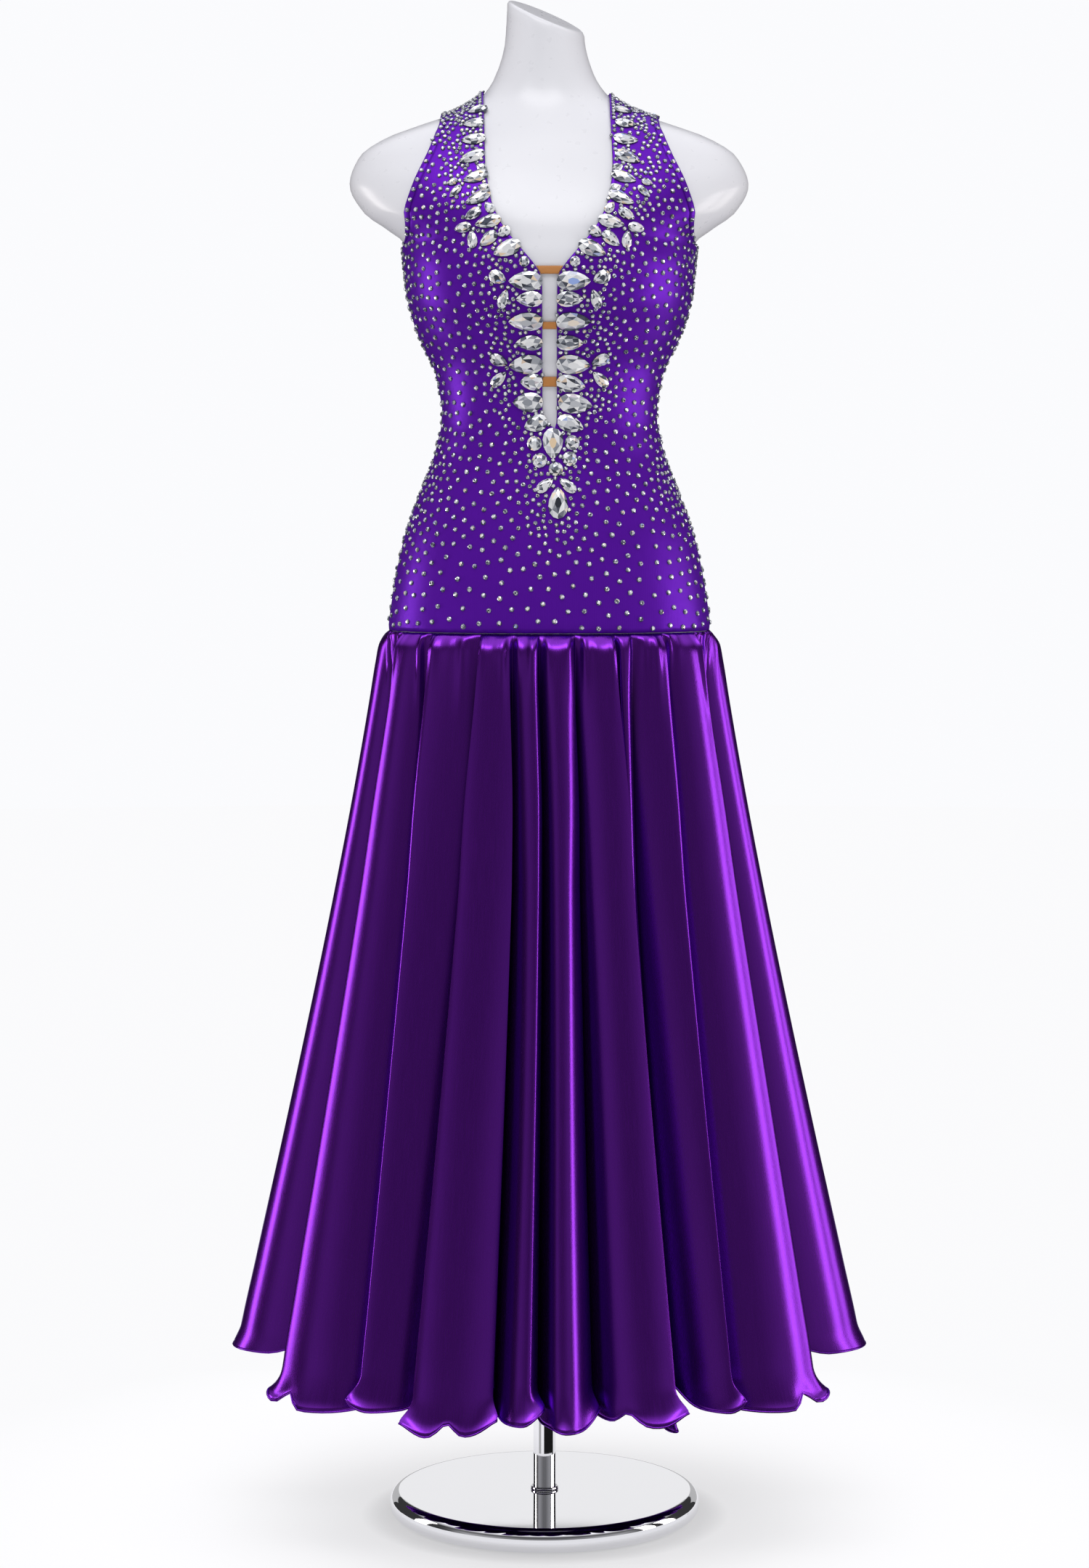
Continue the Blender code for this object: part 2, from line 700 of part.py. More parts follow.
def flute_shape(degrees):
    """How far out of the outer line the hem is here, and the hem's height."""
    first = FLUTE_STARTS[0]
    place_round = first + (degrees - first) % 360.0
    starts = np.append(FLUTE_STARTS, first + 360.0)
    i = int(np.searchsorted(starts, place_round, side="right")) - 1
    share = (place_round - starts[i]) / (starts[i + 1] - starts[i])
    next_valley = FLUTE_VALLEYS[(i + 1) % len(FLUTES)]
    valley = FLUTE_VALLEYS[i] + (next_valley - FLUTE_VALLEYS[i]) * share
    height = 1.0 - ((1.0 + math.cos(2.0 * math.pi * share)) / 2.0) ** FLUTE_SHARPNESS
    out = FLUTE_CRESTS[i] * height - valley * (1.0 - height)
    return out, FLUTE_HEMS[i] * height + VALLEY_HEM_Z * (1.0 - height)


def skirt_point(degrees, step):
    """The skirt's outer face, step being 0 at the seam and 1 at the hem."""
    angle = math.radians(degrees)
    flute, hem = flute_shape(degrees)
    top = SEAM_Z - SEAM_GAP
    z = top + (hem - top) * step
    side = SKIRT_SIDE.at(z)
    start = form_ring_point(0.0, SEAM_Z, FORM_GAP + JERSEY)
    finish = form_ring_point(180.0, SEAM_Z, FORM_GAP + JERSEY)
    out = side - SKIRT_SIDE.at(top)
    if math.cos(angle) > 0.0:
        depth = -start[1] + out * SKIRT_FRONT_GAIN
    else:
        depth = finish[1] + out * SKIRT_BACK_GAIN
    squareness = FORM_SQUARENESS.at(SEAM_Z)
    power = 2.0 / (squareness + (2.0 - squareness) * min(step / SQUARE_STEP, 1.0))
    point = np.array((side * signed_power(math.sin(angle), power),
                      -depth * signed_power(math.cos(angle), power), z))
    outward = np.array((math.sin(angle) / side, -math.cos(angle) / depth, 0.0))
    outward /= np.linalg.norm(outward)
    flip = HEM_FLIP * max(0.0, (step - 1.0 + HEM_FLIP_SHARE) / HEM_FLIP_SHARE) ** 2
    return point + outward * (flute * step ** FLUTE_GROWTH + flip)


def skirt_degrees(low, high):
    """Columns between two angles, with one in each valley."""
    starts = [start - 360.0 * turn for start in FLUTE_STARTS for turn in (0, 1)]
    stops = sorted({low, high} | {start for start in starts if low < start < high})
    degrees = []
    for first, second in zip(stops, stops[1:]):
        count = max(FEWEST_COLUMNS, round((second - first) / DEGREES_PER_COLUMN))
        if {first, second} & {low, high}:
            count = max(FEWEST_SEAM_COLUMNS, round((second - first) / DEGREES_PER_COLUMN))
        degrees += [first + (second - first) * i / count for i in range(count)]
    return degrees + [high]


def build_skirt_panel(name, low, high, collection, stuff):
    rows = []
    for step in reversed(SKIRT_STEPS):
        angles = skirt_degrees(low, high)
        side = SKIRT_SIDE.at(SEAM_Z + (HEM_Z - SEAM_Z) * step)
        gap = math.degrees(SKIRT_SEAM_GAP / 2.0 / side)
        angles[0] += gap
        angles[-1] -= gap
        rows.append([skirt_point(angle, step) for angle in angles])
    made = place(name, sheet_mesh(name, rows), collection, stuff)
    solidify(made, SATIN)
    return made


def turned(name, profile, steps, collection, stuff, x=0.0):
    """A turned solid: the profile runs down its outer side."""
    mesh = bpy.data.meshes.new(name)
    points = profile[:-1] if profile[0] == profile[-1] else profile
    edges = [(i, (i + 1) % len(points)) for i in range(len(profile) - 1)]
    mesh.from_pydata([(radius, 0.0, z) for radius, z in points], edges, [])
    made = place(name, mesh, collection, stuff, x)
    screw = made.modifiers.new("turn", "SCREW")
    screw.steps = steps
    screw.render_steps = steps
    screw.use_merge_vertices = True
    screw.merge_threshold = 0.00001
    return made


def build_stand(collection, stuff):
    profile = [(0.0, BASE_HEIGHT)]
    for i in range(BASE_ROUND_STEPS + 1):
        angle = math.radians(90.0 - 90.0 * i / BASE_ROUND_STEPS)
        profile.append((BASE_RADIUS - BASE_TOP_ROUND + BASE_TOP_ROUND * math.cos(angle),
                        BASE_HEIGHT - BASE_TOP_ROUND + BASE_TOP_ROUND * math.sin(angle)))
    for inset, height in (BASE_LOWER_RIM, BASE_CHAMFER):
        profile.append((BASE_RADIUS - inset, height))
    profile += [(BASE_FLAT_RADIUS, 0.0), (0.0, 0.0)]
    turned("base_plate", profile, BASE_STEPS, collection, stuff)
    foot = BASE_HEIGHT + TOUCH
    head = FORM_BOTTOM - TOUCH
    turned("pole", [(0.0, head), (POLE_RADIUS, head), (POLE_RADIUS, foot), (0.0, foot)],
           POLE_SIDES, collection, stuff)
    inner = POLE_RADIUS + TOUCH * 1.5
    top = foot + RING_HEIGHT
    ring = [(inner, foot), (inner, top), (RING_RADIUS - RING_EDGE[0], top),
            (RING_RADIUS, top - RING_EDGE[1]), (RING_RADIUS, foot), (inner, foot)]
    turned("pole_ring", ring, POLE_SIDES, collection, stuff)


def clear_scene():
    for made in list(bpy.data.objects):
        bpy.data.objects.remove(made, do_unlink=True)


def new_collection(name):
    made = bpy.data.collections.new(name)
    bpy.context.scene.collection.children.link(made)
    return made


def main():
    clear_scene()
    gown = new_collection("ballroom_gown")
    tools = new_collection("cutters")
    jersey = material("violet_jersey", (0.12, 0.008, 0.42), 0.55)
    satin = material("violet_satin", (0.09, 0.006, 0.30), 0.25)
    crystal = material("clear_crystal", (0.85, 0.86, 0.90), 0.05)
    elastic = material("tan_elastic", (0.45, 0.16, 0.03), 0.60)
    moulding = material("gloss_white", (0.82, 0.82, 0.88), 0.20)
    chrome = material("chrome", (0.85, 0.85, 0.87), 0.05, 1.0)
    build_stand(gown, chrome)
    build_form(gown, moulding)
    front = build_bodice_front(gown, jersey)
    raise_crystals(front, tools, crystal)
    build_bodice_back(gown, jersey)
    for number, bridge in enumerate(records(BRIDGES, BRIDGE_COLUMNS), start=1):
        build_bridge(number, bridge, gown, elastic)
    build_skirt_panel("skirt_front", -90.0, 90.0, gown, satin)
    build_skirt_panel("skirt_back", 90.0, 270.0, gown, satin)


main()
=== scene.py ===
"""The look of a V-neck ballroom gown on its dress form: fine cloth, crystals, stones and finishes.

Metres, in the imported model's frame: +Z up, the gown's front faces -Y. The cloth's points come from
rings, edges and flutes like those of the solids, taken in finer steps.
"""
import math

import bpy
import numpy as np
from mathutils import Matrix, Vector
from mathutils.bvhtree import BVHTree
from mathutils.kdtree import KDTree


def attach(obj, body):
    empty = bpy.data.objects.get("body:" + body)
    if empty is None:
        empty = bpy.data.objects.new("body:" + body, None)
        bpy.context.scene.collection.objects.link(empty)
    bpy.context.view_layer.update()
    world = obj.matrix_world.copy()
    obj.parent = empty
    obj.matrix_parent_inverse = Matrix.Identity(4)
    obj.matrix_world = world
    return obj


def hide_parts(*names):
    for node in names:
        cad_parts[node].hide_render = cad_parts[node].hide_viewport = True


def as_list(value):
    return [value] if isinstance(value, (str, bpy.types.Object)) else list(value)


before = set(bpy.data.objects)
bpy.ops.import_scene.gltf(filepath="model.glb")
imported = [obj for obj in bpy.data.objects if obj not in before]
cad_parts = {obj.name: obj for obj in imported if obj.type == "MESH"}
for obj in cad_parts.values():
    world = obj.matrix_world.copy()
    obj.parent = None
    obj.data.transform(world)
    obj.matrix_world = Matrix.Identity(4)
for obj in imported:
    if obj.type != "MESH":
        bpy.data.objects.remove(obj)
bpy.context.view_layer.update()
BODY = "root"
MM = 0.001

# The stand
BASE_RADIUS = 0.160
BASE_FLAT_RADIUS = 0.148
BASE_HEIGHT = 0.025
BASE_ROUND = 0.011
BASE_LOWER_RIM = 0.0095
POLE_RADIUS = 0.0116
RING_RADIUS = 0.0142
RING_HEIGHT = 0.0030
TURN_STEPS = 160

# The gown's place and clearances
GOWN_X = 0.005
NECK_LEAN = -0.0045
TOUCH = 0.0003
SEAM_GAP = 0.0006
FORM_GAP = 0.0019
JERSEY = 0.0015
SATIN = 0.0009
CLOTH_WALL = 0.0010
ELASTIC = 0.0011
FORM_BOTTOM = 0.800
NECK_RING_START = 1.478
SEAM_Z = 0.9145
UNDERARM_Z = 1.300
SHOULDER_Z = 1.335
SLIT_BOTTOM = 1.1167
HEM_Z = 0.160
CAST_REACH = 0.25
SETTLE_ROUNDS = 8

# The form's rings
FORM_COLUMNS = ("z", "side", "front", "back", "squareness")
FORM_RINGS = (
    (0.800, 0.128, 0.084, 0.094, 2.10),
    (0.830, 0.1500, 0.098, 0.113, 2.12),
    (0.880, 0.1600, 0.104, 0.122, 2.15),
    (0.915, 0.1598, 0.104, 0.121, 2.15),
    (0.960, 0.1541, 0.103, 0.116, 2.12),
    (1.005, 0.1445, 0.099, 0.105, 2.08),
    (1.050, 0.1287, 0.092, 0.092, 2.04),
    (1.095, 0.1121, 0.085, 0.083, 2.02),
    (1.132, 0.1054, 0.083, 0.079, 2.02),
    (1.170, 0.1108, 0.089, 0.080, 2.06),
    (1.215, 0.1303, 0.106, 0.085, 2.18),
    (1.250, 0.1403, 0.121, 0.091, 2.30),
    (1.278, 0.1433, 0.124, 0.097, 2.30),
    (1.303, 0.1460, 0.119, 0.101, 2.22),
    (1.318, 0.1640, 0.115, 0.102, 2.14),
    (1.334, 0.1865, 0.109, 0.103, 2.10),
    (1.362, 0.2010, 0.096, 0.100, 2.04),
    (1.390, 0.1900, 0.082, 0.088, 2.00),
    (1.408, 0.1640, 0.073, 0.078, 2.00),
    (1.421, 0.1290, 0.066, 0.070, 2.00),
    (1.434, 0.0900, 0.059, 0.061, 2.00),
    (1.450, 0.0640, 0.053, 0.055, 2.00),
    (1.475, 0.0480, 0.049, 0.051, 2.00),
    (1.505, 0.0400, 0.047, 0.050, 2.00),
    (1.560, 0.0370, 0.046, 0.049, 2.00),
)
NECK_START = 1.466
NECK_CUT_Z = 1.531
NECK_CUT_SLOPE_X = -0.42
NECK_CUT_SLOPE_Y = 0.22
NECK_EDGE_ROUND = 0.004
NECK_SHARES = (0.15, 0.3, 0.45, 0.6, 0.75, 0.88, 1.0)
NECK_ROUNDINGS = (0.0012, 0.0026, 0.0042, 0.012)
FORM_FOOT_ROUND = 0.006

# The bodice's edges
V_COLUMNS = ("z", "half_width")
V_EDGE = (
    (SLIT_BOTTOM, 0.0),
    (1.1200, 0.0040),
    (1.1245, 0.0060),
    (1.1330, 0.0070),
    (1.2540, 0.0073),
    (1.2660, 0.0090),
    (1.2730, 0.0128),
    (1.2912, 0.0280),
    (1.3150, 0.0462),
    (1.3400, 0.0573),
    (1.3810, 0.0624),
    (1.4550, 0.0615),
)
SLIT_LEAN = 0.0052
SLIT_STRAIGHT_Z = 1.200
NECK_SHARE = 0.8
RIDGE_RADIUS = 0.100
NAPE_Z = 1.436
NECK_COLUMN_SHARE = 5.0 / 9.0
ARMHOLE_LOW_COLUMNS = ("z", "degrees")
ARMHOLE_LOW = (
    (UNDERARM_Z, 90.0),
    (1.3035, 78.0),
    (1.3095, 68.0),
    (1.3170, 59.5),
    (1.3260, 52.5),
    (SHOULDER_Z, 48.0),
)
ARMHOLE_HIGH_COLUMNS = ("z", "x")
ARMHOLE_HIGH = (
    (SHOULDER_Z, 0.1415),
    (1.3590, 0.1330),
    (1.3890, 0.1190),
    (1.4050, 0.1125),
    (1.4160, 0.1084),
    (1.4600, 0.1060),
)
# The bodice's mesh: how far its columns lie from the edges, how many lie between, and its rows' steps
INNER_MARKS = (0.0, 0.0008, 0.0018, 0.0032, 0.0048)
OUTER_MARKS = (0.0, 0.0008, 0.0020, 0.0040, 0.0058, 0.0066, 0.0074, 0.0090)
FRONT_MIDDLE = 34
BACK_MIDDLE = 64
LEVEL_STEP = 0.0052
TURN_STEP = 2.5
BODICE_LEVELS = np.arange(SEAM_Z, SHOULDER_Z - LEVEL_STEP / 2.0, LEVEL_STEP)
SHOULDER_TURNS = np.arange(TURN_STEP, 90.0 + TURN_STEP / 2.0, TURN_STEP)

# The bodice's relief: the rolled edge, the stitches of the turning, the neck's cord, and the seam's roll
RIM_DEPTH = 0.0005
RIM_WIDTH = 0.0018
TURNING_HEIGHT = 0.00045
STITCHES_IN = 0.0068
STITCH_DEPTH = 0.0006
CORD_HEIGHT = 0.0005
PUCKER_HEIGHT = 0.00035
SEAM_ROLL = 0.0006

BRIDGE_COLUMNS = ("z", "height")
BRIDGES = (
    (1.2703, 0.0078),
    (1.2177, 0.0072),
    (1.1630, 0.0098),
)

# The large crystals, in millimetres seen from the front; the tip's direction is in degrees
# anticlockwise from +X, and a pair has a mirrored twin
CRYSTAL_COLUMNS = ("x", "z", "length", "width", "tip", "pair")
CRYSTALS = (
    (23.3, 1259.5, 33.6, 19.4, 0, True),
    (19.6, 1242.4, 26.6, 16.0, 0, True),
    (23.2, 1221.0, 34.2, 19.6, 0, True),
    (19.8, 1200.6, 27.0, 16.0, 0, True),
    (23.2, 1179.5, 34.2, 20.0, -4, True),
    (-17.6, 1162.6, 22.5, 17.0, 180, False),
    (20.8, 1160.5, 29.8, 17.8, -12, False),
    (-21.2, 1142.5, 30.4, 20.0, 180, False),
    (25.1, 1141.0, 34.9, 19.8, -7, False),
    (-13.6, 1121.4, 24.0, 17.2, 200, False),
    (20.5, 1121.0, 27.6, 16.9, -20, False),
    (50.6, 1263.2, 18.2, 13.8, 205, True),
    (45.0, 1242.4, 20.6, 10.4, 112, True),
    (50.0, 1183.9, 19.0, 12.8, 205, True),
    (50.0, 1165.3, 22.0, 11.0, 140, True),
    (3.3, 1101.8, 30.8, 20.6, 270, False),
    (-14.9, 1101.8, 14.8, 14.8, 90, False),
    (22.2, 1102.5, 14.8, 14.8, 90, False),
    (-9.8, 1085.0, 14.8, 14.8, 90, False),
    (19.8, 1086.5, 14.8, 14.8, 90, False),
    (6.2, 1076.3, 14.2, 14.2, 90, False),
    (-4.7, 1060.3, 20.4, 10.9, 40, False),
    (17.8, 1060.3, 20.4, 10.9, 140, False),
    (8.4, 1042.9, 31.6, 19.6, 90, False),
    (71.4, 1432.0, 21.0, 11.5, -20, True),
    (75.0, 1417.5, 21.5, 12.0, -8, True),
    (75.0, 1401.0, 25.0, 13.0, -8, True),
    (76.5, 1383.0, 27.0, 13.5, -24, True),
    (67.0, 1372.0, 11.0, 9.5, 20, True),
    (72.5, 1362.5, 26.0, 13.0, -20, True),
    (64.6, 1351.5, 12.0, 9.5, 15, True),
    (70.0, 1341.5, 27.0, 13.0, -26, True),
    (58.8, 1331.5, 13.5, 9.5, 50, True),
    (75.0, 1325.5, 18.5, 11.0, -32, True),
    (60.0, 1317.6, 27.0, 13.5, -14, True),
    (84.7, 1312.4, 18.5, 10.5, -10, True),
    (44.6, 1307.5, 14.0, 11.5, -35, True),
    (75.4, 1300.4, 18.5, 11.0, 78, True),
    (59.6, 1300.6, 21.0, 13.0, -40, True),
    (41.2, 1290.8, 29.0, 16.4, -24, True),
    (24.6, 1278.2, 10.5, 10.5, 90, True),
    (95.6, 1357.6, 11.5, 8.0, -20, True),
    (92.4, 1348.2, 16.0, 7.8, -48, True),
)
DROP_WIDEST = 0.864
CRYSTAL_SIDES = 14
SHORT_CRYSTAL_SIDES = 12
SHORT_CRYSTAL = 0.0185
THREADED_CRYSTAL = 0.016
CRYSTAL_HEIGHT = 0.0046
CRYSTAL_SINK = 0.0012
CRYSTAL_LIFT = 0.0004
GIRDLE_SHARE = 0.30
CROWN_HEIGHT_SHARE = 0.74
STONE_SIDES = 8
STONE_RADIUS = 0.0023
STONE_MORE = 0.00035
STONE_SINK = 0.0004

# Small stones: the spacing at a height away from the crystals, and how wide the close band round them is
STONE_COLUMNS = ("z", "spacing")
STONE_SPACING = (
    (0.915, 0.0172),
    (0.960, 0.0160),
    (1.010, 0.0142),
    (1.050, 0.0124),
    (1.100, 0.0130),
    (1.150, 0.0145),
    (1.220, 0.0136),
    (1.280, 0.0112),
    (1.340, 0.0088),
    (1.390, 0.0076),
    (1.450, 0.0068),
)
BAND_COLUMNS = ("z", "width")
STONE_BAND = (
    (1.10, 0.030),
    (1.14, 0.040),
    (1.27, 0.044),
    (1.30, 0.026),
    (1.36, 0.024),
    (1.44, 0.020),
)
EDGE_TOP = 1.46
STONE_TRIES = 26000
MOST_STONES = 4000
SPREAD_ROUNDS = 10

# The skirt's outer line at the side, and its flutes
SKIRT_COLUMNS = ("z", "side")
SKIRT_LINE = (
    (0.9139, 0.1632),
    (0.9100, 0.1668),
    (0.9000, 0.1735),
    (0.8850, 0.1766),
    (0.8400, 0.1840),
    (0.7500, 0.2000),
    (0.6300, 0.2235),
    (0.5100, 0.2487),
    (0.3900, 0.2750),
    (0.2700, 0.3020),
    (0.1850, 0.3200),
    (0.1500, 0.3240),
)
SKIRT_FRONT_GAIN = 1.17
SKIRT_BACK_GAIN = 1.08
FLUTE_GROWTH = 0.70
SEAM_GATHER = 0.10
SQUARE_STEP = 0.33
VALLEY_HEM_Z = 0.174
HEM_FLIP = 0.0045
HEM_FLIP_SHARE = 0.06
SIDE_RISE = 0.014
SIDE_IN = 0.003
# Each flute: where it starts, how far its valley dips and its crest stands out, its hem's height, how
# far its two edges lap their neighbours, where its crown lies, its edges' heights, its hem's notch with
# its rise, and how the long side falls: straight down (1) or flat by the crown and steep beyond (3)
FLUTE_COLUMNS = ("start", "valley", "crest", "hem", "left_lap", "right_lap", "crown", "left_edge", "right_edge",
                 "notch", "rise", "fall")
FLUTES = (
    (-98, 0.050, 0, 0.166, 0, 0, 0.35, 0, 0, 0.88, 0.006, 2),
    (-72, 0.085, -0.062, 0.174, 0, 0, 0.50, 0, 0, 0.30, 0.004, 2),
    (-54.9, 0.085, 0.004, 0.158, 1, 0, 0.05, 0.84, 0, 0.19, 0.014, 2.6),
    (-34.8, 0.060, -0.006, 0.166, 1, 0, -0.075, 0.98, 0, 0.84, 0.016, 1.3),
    (-22.9, 0.055, 0.006, 0.153, 1, 0.8, 0.10, 0.96, 0.50, 0.46, 0.012, 1.9),
    (-11.3, 0.045, 0.002, 0.167, 0, 1, 0.90, 0, 0.70, 0.15, 0.003, 2),
    (-3, 0.050, 0.002, 0.160, 0, 0.8, 0.54, 0, 0.40, 0.30, 0.004, 2),
    (7.3, 0.055, 0, 0.162, 0, 1, 0.92, 0, 0.96, 0.48, 0.011, 2),
    (21, 0.050, -0.026, 0.150, 0, 0, 0.50, 0, 0, 0.50, 0, 2),
    (25, 0.060, -0.004, 0.166, 0, 1, 1.07, 0, 0.98, 0.10, 0.016, 1.3),
    (33.2, 0.070, 0.004, 0.159, 0, 1, 0.98, 0, 0.86, 0.81, 0.014, 2.6),
    (53.6, 0.085, -0.062, 0.174, 0, 0, 0.50, 0, 0, 0.70, 0.004, 2),
    (71, 0.085, 0, 0.166, 0, 0, 0.66, 0, 0, 0.12, 0.006, 2),
    (98, 0.055, -0.004, 0.166, 0, 0.6, 0.60, 0, 0.60, 0.35, 0.009, 2),
    (115, 0.065, 0.004, 0.160, 0, 0, 0.50, 0, 0, 0.60, 0.012, 2),
    (134, 0.060, -0.002, 0.167, 0.8, 0, 0.20, 0.75, 0, 0.70, 0.008, 2),
    (150, 0.050, 0.003, 0.158, 0.7, 0.6, 0.35, 0.60, 0.40, 0.50, 0.012, 2),
    (166, 0.065, -0.003, 0.165, 0, 0.9, 0.90, 0, 0.80, 0.40, 0.009, 2),
    (184, 0.055, 0.002, 0.159, 0, 0, 0.50, 0, 0, 0.30, 0.013, 2),
    (199, 0.060, -0.004, 0.168, 0.9, 0, 0.10, 0.80, 0, 0.72, 0.008, 2),
    (218, 0.065, 0.003, 0.161, 0, 0.9, 0.85, 0, 0.75, 0.45, 0.011, 2),
    (240, 0.055, 0, 0.166, 0, 0, 0.50, 0, 0, 0.55, 0.010, 2),
)
# How far the folds are turned outwards at the seam, in degrees; they run straight down from there
FAN_COLUMNS = ("degrees", "turn")
FAN = (
    (-98.0, 0.0),
    (-58.0, -8.0),
    (-36.0, -10.5),
    (-23.0, 0.0),
    (22.0, 0.5),
    (34.0, 9.0),
    (56.0, 8.0),
    (98.0, 0.0),
)
FAN_POWER = 1.3
LAP = 0.10
LAP_TURN = 0.07
CROWN_SHARE = 0.09
COLUMN_SHARES = (0.0, 0.012, 0.024, 0.036, 0.048, 0.058, 0.066, 0.070, 0.076, 0.084, 0.094, 0.106, 0.12, 0.138,
                 0.16, 0.19, 0.23, 0.27, 0.32, 0.38, 0.44)
ROW_SPANS = ((0.0, 0.03, 9), (0.03, 0.16, 16), (0.16, 0.93, 38), (0.93, 1.0, 15))
LAP_STEP = 0.25
HEM_ROLL_RADIUS = 0.00105
HEM_ROLL_SIDES = 8
CORNER_WIDTH = 0.11
CURL_SHARE = 0.045
CORNER_FLARE = 1.9
CORNER_RISE = 0.012
LIP_SHARE = 0.013
LIP_OUT = 0.0050
NOTCH_DEGREES = 1.7
NOTCH_IN = 0.6
LOBE_OUT = 0.0035
FOLD_SHADE = 0.8
# Tucks under the seam, beside each flute's start: degrees from it, half width, height and reach down
TUCK_COLUMNS = ("offset", "wide", "size", "reach")
TUCKS = (
    (-2.6, 1.1, 0.0034, 0.050),
    (2.4, 0.9, 0.0028, 0.036),
    (6.1, 1.3, 0.0020, 0.026),
)

# The studio's radiance, and its lights with their power in watts. Each faces a height over the origin,
# and shows in reflections or doesn't
WORLD_FRONT = 0.34
WORLD_MIDDLE = 0.15
WORLD_DARK = 0.04
WORLD_ABOVE = 1.5
WHITE = (1.0, 1.0, 1.0)
WARM_WHITE = (1.0, 0.95, 0.93)
LIGHT_COLUMNS = ("name", "place", "aim", "size", "power", "colour", "shines")
LIGHTS = (
    ("strip_left", (-2.40, 0.42, 0.75), 0.65, (0.6, 1.5), 16.5, WARM_WHITE, True),
    ("strip_right", (2.40, 0.47, 0.75), 0.65, (0.6, 1.5), 10.0, WARM_WHITE, True),
    ("strip_right_front", (2.36, -0.41, 0.75), 0.65, (0.5, 1.5), 12.5, WARM_WHITE, True),
    ("card_behind", (0.0, 2.2, 0.62), 0.05, (0.9, 0.45), 0.54, WHITE, True),
    ("card_low", (0.0, 0.62, 0.12), 0.12, (1.1, 0.24), 0.38, WHITE, True),
    ("key_above", (-0.25, -1.7, 3.1), 1.2, (2.2, 0.9), 24.0, WHITE, True),
    ("fill_front", (0.0, -4.2, 1.6), 1.0, (3.4, 2.4), 26.0, WHITE, False),
    ("fill_left", (-2.7, 0.5, 1.3), 1.0, (2.0, 2.4), 6.0, WHITE, False),
    ("fill_right", (2.7, 0.5, 1.3), 1.0, (2.0, 2.4), 3.0, WHITE, False),
)

# The floor, and cards that show only in reflections: (radius, height) rings, and degrees from -Y
FLOOR_Z = -0.0005
NEAR_FLOOR = 0.65
FAR_FLOOR = 9.0
BACKDROP_RADIUS = 8.8
CARD_COLUMNS = ("name", "inner", "outer", "first", "last", "count", "colour", "flipped")
CARDS = (
    ("card_dark", (0.24, 0.0003), (0.63, 0.0003), -5.0, 96.0, 25, (0.010, 0.010, 0.010), True),
    ("card_grey", (0.24, 0.0003), (0.63, 0.0003), -58.0, -34.0, 25, (0.42, 0.42, 0.42), True),
    ("card_rim", (0.190, 0.0004), (0.190, 0.017), -80.0, 80.0, 41, (0.86, 0.86, 0.88), False),
)


def column(table, names, name):
    """One named column of a table, as an array."""
    return np.array([row[names.index(name)] for row in table], dtype=float)


def records(table, names):
    """A table's rows with their columns' names."""
    return [dict(zip(names, row)) for row in table]


class Curve:
    """A smooth curve through a table's points that never overshoots them."""

    def __init__(self, table, names, name):
        self.xs, self.ys = column(table, names, names[0]), column(table, names, name)
        steps = np.diff(self.xs)
        rises = np.diff(self.ys) / steps
        self.slopes = np.concatenate((rises[:1], np.zeros(len(rises) - 1), rises[-1:]))
        for i in range(1, len(rises)):
            if rises[i - 1] * rises[i] > 0.0:
                first, second = 2.0 * steps[i] + steps[i - 1], steps[i] + 2.0 * steps[i - 1]
                self.slopes[i] = (first + second) / (first / rises[i - 1] + second / rises[i])

    def at(self, x):
        x = np.clip(x, self.xs[0], self.xs[-1])
        i = np.clip(np.searchsorted(self.xs, x) - 1, 0, len(self.xs) - 2)
        step = self.xs[i + 1] - self.xs[i]
        t = (x - self.xs[i]) / step
        ease = t * t * (3.0 - 2.0 * t)
        leave = t * (1.0 - t) ** 2 * step * self.slopes[i]
        arrive = t * t * (t - 1.0) * step * self.slopes[i + 1]
        return self.ys[i] * (1.0 - ease) + self.ys[i + 1] * ease + leave + arrive


FORM_SIDE, FORM_FRONT, FORM_BACK, FORM_SQUARENESS = (
    Curve(FORM_RINGS, FORM_COLUMNS, name) for name in FORM_COLUMNS[1:])
V_HALF = Curve(V_EDGE, V_COLUMNS, "half_width")
ARMHOLE_DEGREES = Curve(ARMHOLE_LOW, ARMHOLE_LOW_COLUMNS, "degrees")
ARMHOLE_X = Curve(ARMHOLE_HIGH, ARMHOLE_HIGH_COLUMNS, "x")
SKIRT_SIDE = Curve(SKIRT_LINE[::-1], SKIRT_COLUMNS, "side")
FLUTE = {name: column(FLUTES, FLUTE_COLUMNS, name) for name in FLUTE_COLUMNS}
FAN_LINE, SPACING_LINE, BAND_LINE = (
    [column(table, names, name) for name in names]
    for table, names in ((FAN, FAN_COLUMNS), (STONE_SPACING, STONE_COLUMNS), (STONE_BAND, BAND_COLUMNS)))
FLUTE_ENDS = np.append(FLUTE["start"], FLUTE["start"][0] + 360.0)


def smooth(t):
    t = np.clip(t, 0.0, 1.0)
    return t * t * (3.0 - 2.0 * t)


def bell(value, middle, width):
    return np.exp(-((value - middle) / width) ** 2)


def quarter(t):
    """How far a quarter circle is from its top: 1 at its foot and 0 at its end."""
    return 1.0 - np.sqrt(np.clip(1.0 - (1.0 - np.clip(t, 0.0, 1.0)) ** 2, 0.0, 1.0))


def unit(vectors):
    return vectors / np.linalg.norm(vectors, axis=-1, keepdims=True)


def lengths_along(points):
    """How far along a line of points each one lies."""
    return np.concatenate(([0.0], np.cumsum(np.linalg.norm(np.diff(points, axis=0), axis=1))))


def halving(low, high, rounds, is_before):
    """Closes in on where a rule stops holding, by halving the way between two bounds."""
    for _ in range(rounds):
        middle = (low + high) / 2.0
        before = is_before(middle)
        low = np.where(before, middle, low)
        high = np.where(before, high, middle)
    return high


def signed_power(value, power):
    return np.sign(value) * np.abs(value) ** power


